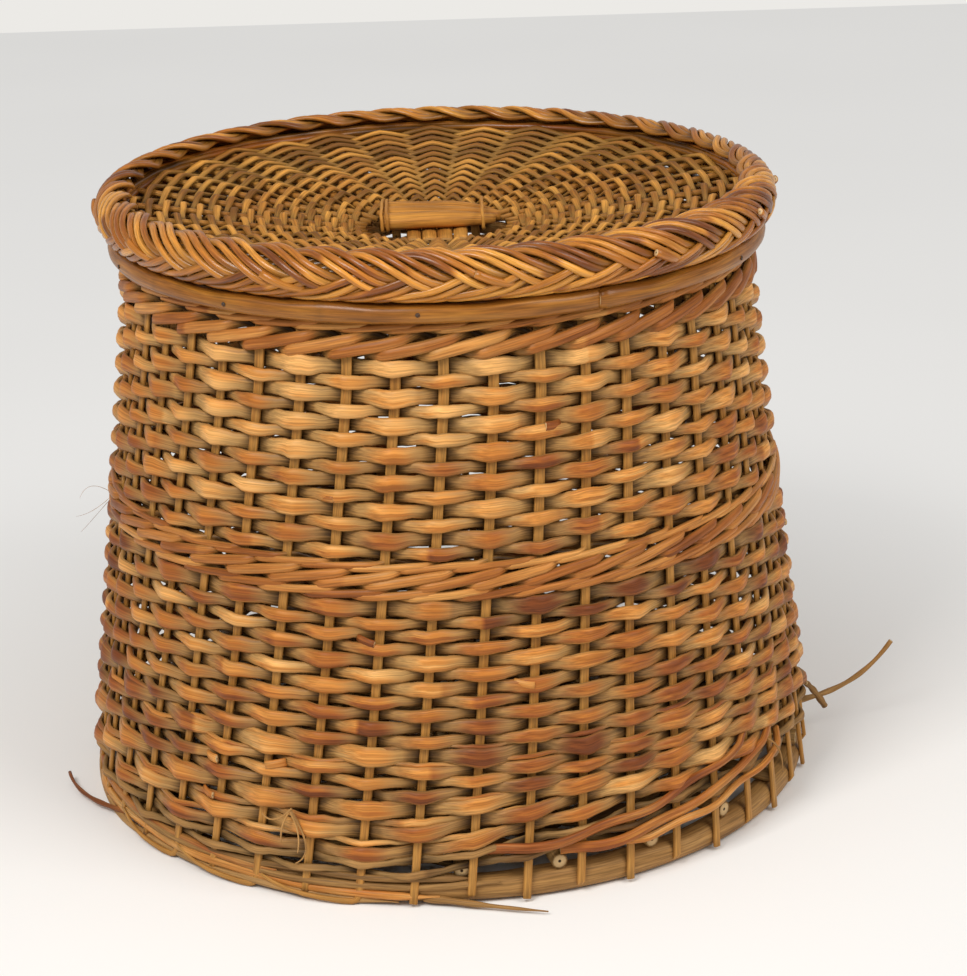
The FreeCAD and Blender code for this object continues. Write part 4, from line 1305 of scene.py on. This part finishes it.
@dataclass
class Lid:
    """The dished lid: slath, radial sticks, fine weave and bindings."""

    shop: Workshop
    sticks: int = 32
    rings: int = 27
    first_ring: float = 0.0755
    last_ring: float = 0.2640
    rod_thick: float = 0.0040
    rod_clear: float = 0.0012
    rod_fill: float = 0.46
    stick_wide: float = 0.0070
    stick_wide_root: float = 0.0052
    stick_thick: float = 0.0050
    edge_height: float = 0.5230
    edge_radius: float = 0.2790
    slath_height: float = 0.4930
    slath_radius: float = 0.0620
    slath_left: float = -0.0490
    slath_right: float = 0.0500
    slath_middle_longer: float = 0.006
    slath_half_thick: float = 0.0072
    bindings: tuple[tuple[float, ...], ...] = ((-0.0475, -0.0430), (0.0400,))
    binding_half: float = 0.0012

    def height_at(self, radius: float) -> float:
        """Height of the middle of the radial sticks at a radius."""
        return float(np.interp(radius, (self.slath_radius, self.edge_radius),
                               (self.slath_height, self.edge_height)))

    def build_sticks(self) -> None:
        """Flat radial sticks that rise from the slath to the border."""
        reach = np.linspace(self.slath_radius, self.edge_radius, 20)
        spine = np.stack([reach, 0 * reach, [self.height_at(r) for r in reach]], axis=1)
        wide = np.interp(reach, (self.slath_radius, 0.12, 0.28),
                         (self.stick_wide_root, self.stick_wide, self.stick_wide)) / 2
        stick = Rod(spine, UP, self.stick_thick / 2, wide, sides=10, square=0.7,
                    proud=0.7).mesh()
        mesh = self.shop.array.spread(stick, self.shop.finish.lid, Count=self.sticks,
                                      Step=FULL_TURN / self.sticks, Turn_Jitter=0.004, Seed=11,
                                      Tone_Low=0.1, Tone_High=0.8)
        settle("radial_sticks", [mesh], Body.LID, "lid_stick", "lid_spokes")

    def build_weave(self) -> None:
        """Fine rings over one stick and under the next, up the dish."""
        rings = []
        pitch = (self.last_ring - self.first_ring) / (self.rings - 1)
        slope = math.atan2(self.edge_height - self.slath_height,
                           self.edge_radius - self.slath_radius)
        for i in range(self.rings):
            radius = self.first_ring + pitch * i
            rings.append(self.shop.weave.grow(
                self.shop.finish.lid, Stations=self.sticks * 8 + 1, Sides=8,
                Half_Thick=self.rod_thick / 2, Half_Wide=pitch * self.rod_fill,
                Seed=500 + i, Rods=3.0 + i % 4, Sticks=float(self.sticks), Phase=float(i),
                Radius=radius, Height=self.height_at(radius),
                Swing=self.stick_thick / 2 + self.rod_thick / 2 + self.rod_clear,
                Lean=math.pi / 2 + slope, Pinch=0.22, Wander=0.0009))
        settle("lid_fine_weave", rings, Body.LID, "lid_weave",
               *(f"lid_weaver_{i}" for i in range(1, 7)))

    def build_slath(self) -> None:
        """Three stout sticks that taper to the right, over four cross sticks."""
        low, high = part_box("lid_slath_sticks")
        pitch = (high.y - low.y) / 3
        along = np.linspace(0.0, 1.0, 24)
        narrow = 1 - 0.62 * np.clip((along - 0.55) / 0.45, 0.0, 1.0) ** 1.6
        stout = []
        for i in (-1, 0, 1):
            end = self.slath_right if i else self.slath_right + self.slath_middle_longer
            height = ((low.z + high.z) / 2 + 0.0006 * np.sin(along * 7 + 2 * i)
                      - 0.003 * along ** 4)
            spine = np.stack([self.slath_left + (end - self.slath_left) * along,
                              i * pitch * narrow, height], axis=1)
            stout.append(Rod(spine, UP, self.slath_half_thick * (0.35 + 0.65 * narrow),
                             pitch * 0.52 * narrow, sides=14, square=0.95, tone=0.35 + 0.12 * i,
                             proud=1.0).mesh(self.shop.finish.lid))
        settle("slath_stout_sticks", stout, Body.LID, "lid_stick", "lid_slath_sticks")
        cross = crossed_sticks("lid_cross_sticks", 4, True, self.shop.finish.lid, 0.0030)
        settle("slath_cross_sticks", cross, Body.LID, "lid_stick", "lid_cross_sticks")

    def binding(self, places: Sequence[float]) -> list[bpy.types.Mesh]:
        """Rods wound round one end of the slath.

        Args:
            places: Where each turn goes round it.

        Returns:
            The turns of the binding.
        """
        low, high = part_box("lid_bindings")
        middle, half = (low.z + high.z) / 2, (high.z - low.z) / 2 - self.binding_half
        reach, turns = high.y - self.binding_half, []
        t = np.linspace(0.0, FULL_TURN * 1.02, 56)
        for i, place in enumerate(places):
            y, z = (np.sign(wave) * np.abs(wave) ** 0.45 for wave in (np.cos(t), np.sin(t)))
            spine = np.stack([place + 0.0006 * np.sin(t * 2 + i), reach * y,
                              middle + half * z], axis=1)
            out = np.stack([0 * t, np.cos(t) * half, np.sin(t) * reach], axis=1)
            turns.append(Rod(spine, out, self.binding_half, 0.0014,
                             tone=0.2 + 0.25 * i).mesh(self.shop.finish.lid))
        return turns

    def build(self) -> None:
        """Make the whole of the lid inside its border."""
        self.build_sticks()
        self.build_weave()
        self.build_slath()
        turns = [turn for places in self.bindings for turn in self.binding(places)]
        settle("slath_bindings", turns, Body.LID, "lid_stick", "lid_bindings")


@dataclass
class Border:
    """The plaited border: seven strands of three rods, rolled over the lid's edge."""

    shop: Workshop
    strands: int = 7
    rods: int = 3
    repeats: int = 6
    rod_wide: float = 0.0072
    rod_thick: float = 0.0048
    rod_pitch: float = 0.92
    rod_wander: float = 0.0010
    stroke_stations: int = 44
    radius: float = 0.2748
    roll: float = 0.0162
    depth: float = 0.0036
    swing: float = math.radians(94.0)
    turn: float = math.radians(-15.0)
    skew: float = math.radians(22.0)
    core_roll: float = 0.0042
    core_rods: int = 5
    core_thick: float = 0.0066

    def height(self) -> float:
        """Height of the middle of the roll."""
        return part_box("border_strand_1")[0].z + self.roll + self.depth + self.rod_thick / 2

    def build_plait(self) -> None:
        """Plait the strands, each over and under the others."""
        rods = [self.shop.plait.grow(
            self.shop.finish.border, Stations=self.repeats * self.stroke_stations + 1,
            Sides=8,
            Half_Thick=self.rod_thick / 2, Half_Wide=self.rod_wide / 2,
            Seed=600 + strand * 10 + rod, Rods=9.0, Squareness=0.95,
            Repeats=float(self.repeats), Phase=FULL_TURN * strand / self.strands,
            Radius=self.radius, Height=self.height(), Roll=self.roll, Swing=self.swing,
            Turn=self.turn, Depth=self.depth,
            Lane=(rod - (self.rods - 1) / 2) * self.rod_wide * self.rod_pitch,
            Wander=self.rod_wander, Skew=self.skew)
            for strand in range(self.strands) for rod in range(self.rods)]
        settle("plaited_border", rods, Body.LID, "border_willow",
               *(f"border_strand_{i}" for i in (1, 2, 3)))

    def build_core(self) -> None:
        """The bent-down ends that run along inside the plait."""
        rods = [self.shop.plait.grow(
            self.shop.finish.border, Stations=133, Sides=8, Half_Thick=self.core_thick / 2,
            Half_Wide=self.core_thick / 2, Seed=650 + rod, Rods=7.0, Squareness=1.0,
            Repeats=3.0, Phase=float(rod), Radius=self.radius, Height=self.height(),
            Roll=self.core_roll, Swing=0.4, Turn=FULL_TURN * rod / self.core_rods, Depth=0.0,
            Wander=0.0006, Tone_Low=0.5) for rod in range(self.core_rods)]
        settle("border_core", rods, Body.LID, "border_willow")

    def build_butts(self) -> None:
        """Cut ends that stick out between two strokes of the plait."""
        along = np.linspace(0.0, 1.0, 10)
        turn = 0.20 - 0.75 * along
        out = self.roll + 0.0062 - 0.0080 * along ** 2
        spine = round_axis(self.radius + out * np.cos(turn), 0.120 * along,
                           self.height() + out * np.sin(turn))
        flat = np.stack([np.cos(turn), 0 * turn, np.sin(turn)], axis=1)
        butt = Rod(spine, flat, 0.0028, 0.0034, sides=10, square=0.95).mesh()
        count = 2 * self.repeats
        mesh = self.shop.array.spread(
            butt, self.shop.finish.border, Count=count, Start=-1.0, Step=FULL_TURN / count,
            Turn_Jitter=0.07, Lift_Jitter=0.0030, Seed=21)
        settle("border_rod_ends", [mesh], Body.LID, "border_willow")

    def build(self) -> None:
        """Make the whole border."""
        self.build_plait()
        self.build_core()
        self.build_butts()


# ------------------------------------------------------------------ loose ends

@dataclass
class LooseEnds:
    """Rods that have sprung loose, splinters and the cut ends of rods in the weave.

    swept: First and last angle, first and last height and half width of each rod that sweeps up.
    sprung: Points, half width at each end, tone and colour (pale or not) of each sprung rod.
    splinter: The same for a splinter on the floor.
    tufts: Points of each fibre of a frayed rod, on a wall a little smaller than this one.
    tufts_out: How much wider this wall is than that, at the foot and at the waist.
    """

    shop: Workshop
    chips: int = 16
    chip_heights: tuple[tuple[float, float], ...] = ((0.06, 0.24), (0.30, 0.45))
    chip_half_thick: float = 0.0018
    swept: tuple[tuple[float, float, float, float, float], ...] = (
        (-86.0, -36.0, 0.0470, 0.0930, 0.0042), (-75.0, -30.0, 0.0400, 0.0800, 0.0046),
        (-66.0, -26.0, 0.0380, 0.0660, 0.0034))
    sprung: tuple[tuple[Any, ...], ...] = (
        (((0.300, -0.030, 0.036), (0.330, -0.014, 0.036), (0.370, -0.002, 0.046),
          (0.410, 0.002, 0.084)), 0.0032, 0.0020, 0.4, True),
        (((0.326, -0.034, 0.060), (0.335, -0.026, 0.048), (0.346, -0.020, 0.030)), 0.0026,
         0.0032, 0.75, True),
        (((-0.270, -0.158, 0.006), (-0.300, -0.134, 0.006), (-0.330, -0.104, 0.006),
          (-0.351, -0.058, 0.008)), 0.0030, 0.0014, 0.9, False))
    splinter: tuple[Any, ...] = (
        ((-0.030, -0.320, 0.006), (0.016, -0.333, 0.004), (0.071, -0.347, 0.003)), 0.0040,
        0.0007, 0.5)
    tufts: tuple[tuple[tuple[float, float, float], ...], ...] = (
        ((-0.134, -0.288, 0.078), (-0.140, -0.291, 0.066), (-0.142, -0.288, 0.050)),
        ((-0.134, -0.288, 0.078), (-0.128, -0.294, 0.062), (-0.129, -0.293, 0.042)),
        ((-0.133, -0.288, 0.078), (-0.122, -0.296, 0.050), (-0.131, -0.292, 0.032)),
        ((-0.132, -0.288, 0.080), (-0.146, -0.290, 0.072), (-0.156, -0.286, 0.076)),
        ((-0.300, -0.010, 0.262), (-0.316, -0.008, 0.266), (-0.326, -0.010, 0.256)),
        ((-0.300, -0.014, 0.256), (-0.316, -0.012, 0.244), (-0.330, -0.014, 0.240)),
        ((-0.302, -0.006, 0.250), (-0.318, -0.004, 0.232), (-0.328, -0.006, 0.222)),
        ((0.262, -0.176, 0.074), (0.272, -0.178, 0.064), (0.276, -0.172, 0.040)))
    tufts_out: tuple[float, float] = (1.033, 1.008)
    foot_height: float = 0.1

    def spring(self, points: Sequence[tuple[float, float, float]], start: float, end: float,
               tone: float, pale: bool = True) -> bpy.types.Mesh:
        """A tapering rod along a smooth curve through a few points.

        Args:
            points: Where it passes.
            start: Its half width at the first point.
            end: Its half width at the last point.
            tone: Its tone.
            pale: Whether it is weathered, or else like the wall.

        Returns:
            Its mesh.
        """
        given = np.array(points, float)
        share = np.linspace(0, len(given) - 1, 32)
        fit = np.polyfit(np.arange(len(given)), given, min(3, len(given) - 1))
        spine = np.stack([np.polyval(fit[:, i], share) for i in range(3)], axis=1)
        half = np.linspace(start, end, 32) * (1 + 0.12 * np.sin(share * 9))
        return Rod(spine, np.array([0.0, 0.3, 1.0]), half, half, sides=10, square=1.0,
                   tone=tone).mesh(self.shop.finish.straw if pale else self.shop.finish.wall)

    def build_sprung(self) -> None:
        """The rod sprung out at the right and the one along the floor at the left."""
        settle("sprung_rods", [self.spring(*rod) for rod in self.sprung], Body.HAMPER,
               "willow_weaver", "loose_rods")

    def build_splinters(self) -> None:
        """Splinters at the foot and the frayed strands of a split rod."""
        parts = [self.spring(*self.splinter)]
        for i, points in enumerate(self.tufts):
            at_foot = points[0][2] < self.foot_height
            out, thick = self.tufts_out[0 if at_foot else 1], 0.0011 if at_foot else 0.0002
            parts.append(self.spring([(x * out, y * out, z) for x, y, z in points], thick,
                                     thick * 0.5, 0.1 + 0.07 * i))
        settle("splinters", parts, Body.HAMPER, "willow_weaver")

    def build_chips(self) -> None:
        """The cut ends of spent rods, tucked beside the stakes all over the wall."""
        wall, dice = Wall(self.shop), np.random.default_rng(44)
        parts, run = [], np.linspace(0.0, 1.0, 6)
        for _ in range(self.chips):
            panel = self.chip_heights[0 if dice.random() < 0.5 else 1]
            height = float(dice.uniform(*panel))
            angle = (float(dice.integers(0, wall.stakes)) * (FULL_TURN / wall.stakes)
                     + wall.twist_at(height))
            side = 1.0 if dice.random() < 0.5 else -1.0
            angles = angle + side * (0.006 + 0.050 * run)
            radius = wall.radius_at(height) + 0.0084 - 0.007 * run ** 1.5
            rise = float(dice.uniform(-0.003, 0.003))
            parts.append(Rod(round_axis(radius, angles, height + rise * run),
                             round_axis(1.0, angles, 0.1), self.chip_half_thick,
                             float(dice.uniform(0.003, 0.0042)), square=0.85,
                             tone=float(dice.uniform(0.0, 0.9))).mesh(self.shop.finish.wall))
        settle("spent_rod_ends", parts, Body.HAMPER, "willow_weaver")

    def build_swept(self) -> None:
        """Long rods that sweep up over the wall's foot at the right."""
        wall, rods = Wall(self.shop), []
        along = np.linspace(0.0, 1.0, 60)
        for i, (start, end, low, high, half) in enumerate(self.swept):
            angles = np.radians(start + (end - start) * along)
            heights = low + (high - low) * along ** 1.5 + 0.0012 * np.sin(along * 21 + i)
            radius = np.array([wall.radius_at(h) for h in heights])
            radius += 0.0075 + 0.0016 * np.sin(angles * wall.stakes / 2 + i)
            radius -= 0.008 * np.clip(1 - along * 9, 0, 1) + 0.009 * np.clip(along * 9 - 8, 0, 1)
            rods.append(Rod(round_axis(radius, angles, heights), round_axis(1.0, angles, 0.1),
                            0.0030, half * (1.1 - 0.4 * along), sides=10, square=0.9,
                            tone=0.75 - 0.2 * i).mesh(self.shop.finish.wall))
        settle("swept_up_rods", rods, Body.HAMPER, "willow_weaver")

    def build(self) -> None:
        """Make every loose end."""
        self.build_swept()
        self.build_sprung()
        self.build_splinters()
        self.build_chips()


# ------------------------------------------------------------------ stage

@dataclass
class Studio:
    """A plain pale floor, soft lamps and the camera."""

    place: tuple[float, float, float] = (-0.0154, -2.3140, 1.0644)
    pitch: float = math.radians(19.41)
    yaw: float = math.radians(1.243)
    roll: float = math.radians(-1.537)
    lens: float = 99.84
    sensor: float = 36.0
    half_floor: float = 4.0
    floor_level: float = -0.0005
    lamps_look_at: tuple[float, float, float] = (0.0, 0.0, 0.3)

    def build_floor(self) -> None:
        """Lay the floor."""
        corners = [(x * self.half_floor, y * self.half_floor, self.floor_level)
                   for x, y in ((-1, -1), (1, -1), (1, 1), (-1, 1))]
        mesh = bpy.data.meshes.new("floor")
        mesh.from_pydata(corners, [], [(0, 1, 2, 3)])
        floor = bpy.data.objects.new("floor", mesh)
        bpy.context.scene.collection.objects.link(floor)
        mesh.materials.append(Paper("floor_paper", "efeeec", "f5f4f2").material())

    def lamp(self, name: str, place: tuple[float, float, float], size: float, power: float,
             tint: str) -> None:
        """Hang one soft square lamp that looks at the hamper.

        Args:
            name: Its name.
            place: Where it hangs.
            size: Its side.
            power: Its power.
            tint: Its colour.
        """
        data = bpy.data.lights.new(name, "AREA")
        data.size, data.energy, data.color = size, power, linear(tint)[:3]
        lamp = bpy.data.objects.new(name, data)
        lamp.location = place
        aim = Vector(self.lamps_look_at) - Vector(place)
        lamp.rotation_euler = aim.to_track_quat("-Z", "Y").to_euler()
        bpy.context.scene.collection.objects.link(lamp)

    def build_light(self) -> None:
        """Hang the lamps and fill the room with soft light."""
        self.lamp("lamp_above_left", (-1.2, -1.7, 2.3), 1.1, 52.0, "fffdfa")
        self.lamp("lamp_above_right", (1.5, -1.2, 1.9), 1.4, 26.0, "fffdfa")
        world = bpy.data.worlds.new("room")
        world.use_nodes = True
        b = Board(world.node_tree)
        glow, white = (b.get("ShaderNodeBackground", {"Color": linear(tint), "Strength": power})
                       for tint, power in (("f6f5f3", 0.50), ("eceae6", 1.0)))
        seen = b.get("ShaderNodeLightPath", output="Is Camera Ray")
        pick = b.get("ShaderNodeMixShader", {0: seen, 1: glow, 2: white})
        b.add("ShaderNodeOutputWorld", {"Surface": pick})
        bpy.context.scene.world = world
        bpy.context.scene.view_settings.view_transform = "Standard"

    def build_camera(self) -> None:
        """Set up the camera."""
        ahead = Vector((math.sin(self.yaw) * math.cos(self.pitch),
                        math.cos(self.yaw) * math.cos(self.pitch), -math.sin(self.pitch)))
        right = ahead.cross(Vector(UP)).normalized()
        above = right.cross(ahead)
        turned = math.cos(self.roll) * right + math.sin(self.roll) * above
        upright = -math.sin(self.roll) * right + math.cos(self.roll) * above
        data = bpy.data.cameras.new("camera")
        data.sensor_width = data.sensor_height = self.sensor
        data.sensor_fit, data.lens = "AUTO", self.lens
        camera = bpy.data.objects.new("camera", data)
        basis = Matrix((turned, upright, -ahead)).transposed().to_4x4()
        camera.matrix_world = Matrix.Translation(self.place) @ basis
        bpy.context.scene.collection.objects.link(camera)
        bpy.context.scene.camera = camera

    def build(self) -> None:
        """Make the floor, the light and the camera."""
        self.build_floor()
        self.build_light()
        self.build_camera()


def main() -> None:
    """Build the hamper, its floor, its light and the camera."""
    logging.basicConfig(level=logging.INFO, format="%(name)s: %(message)s")
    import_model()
    shop = Workshop()
    for part in (Wall, Hoops, Nails, Base, Lid, Border, LooseEnds):
        part(shop).build()
    Studio().build()


if __name__ == "__main__":
    main()
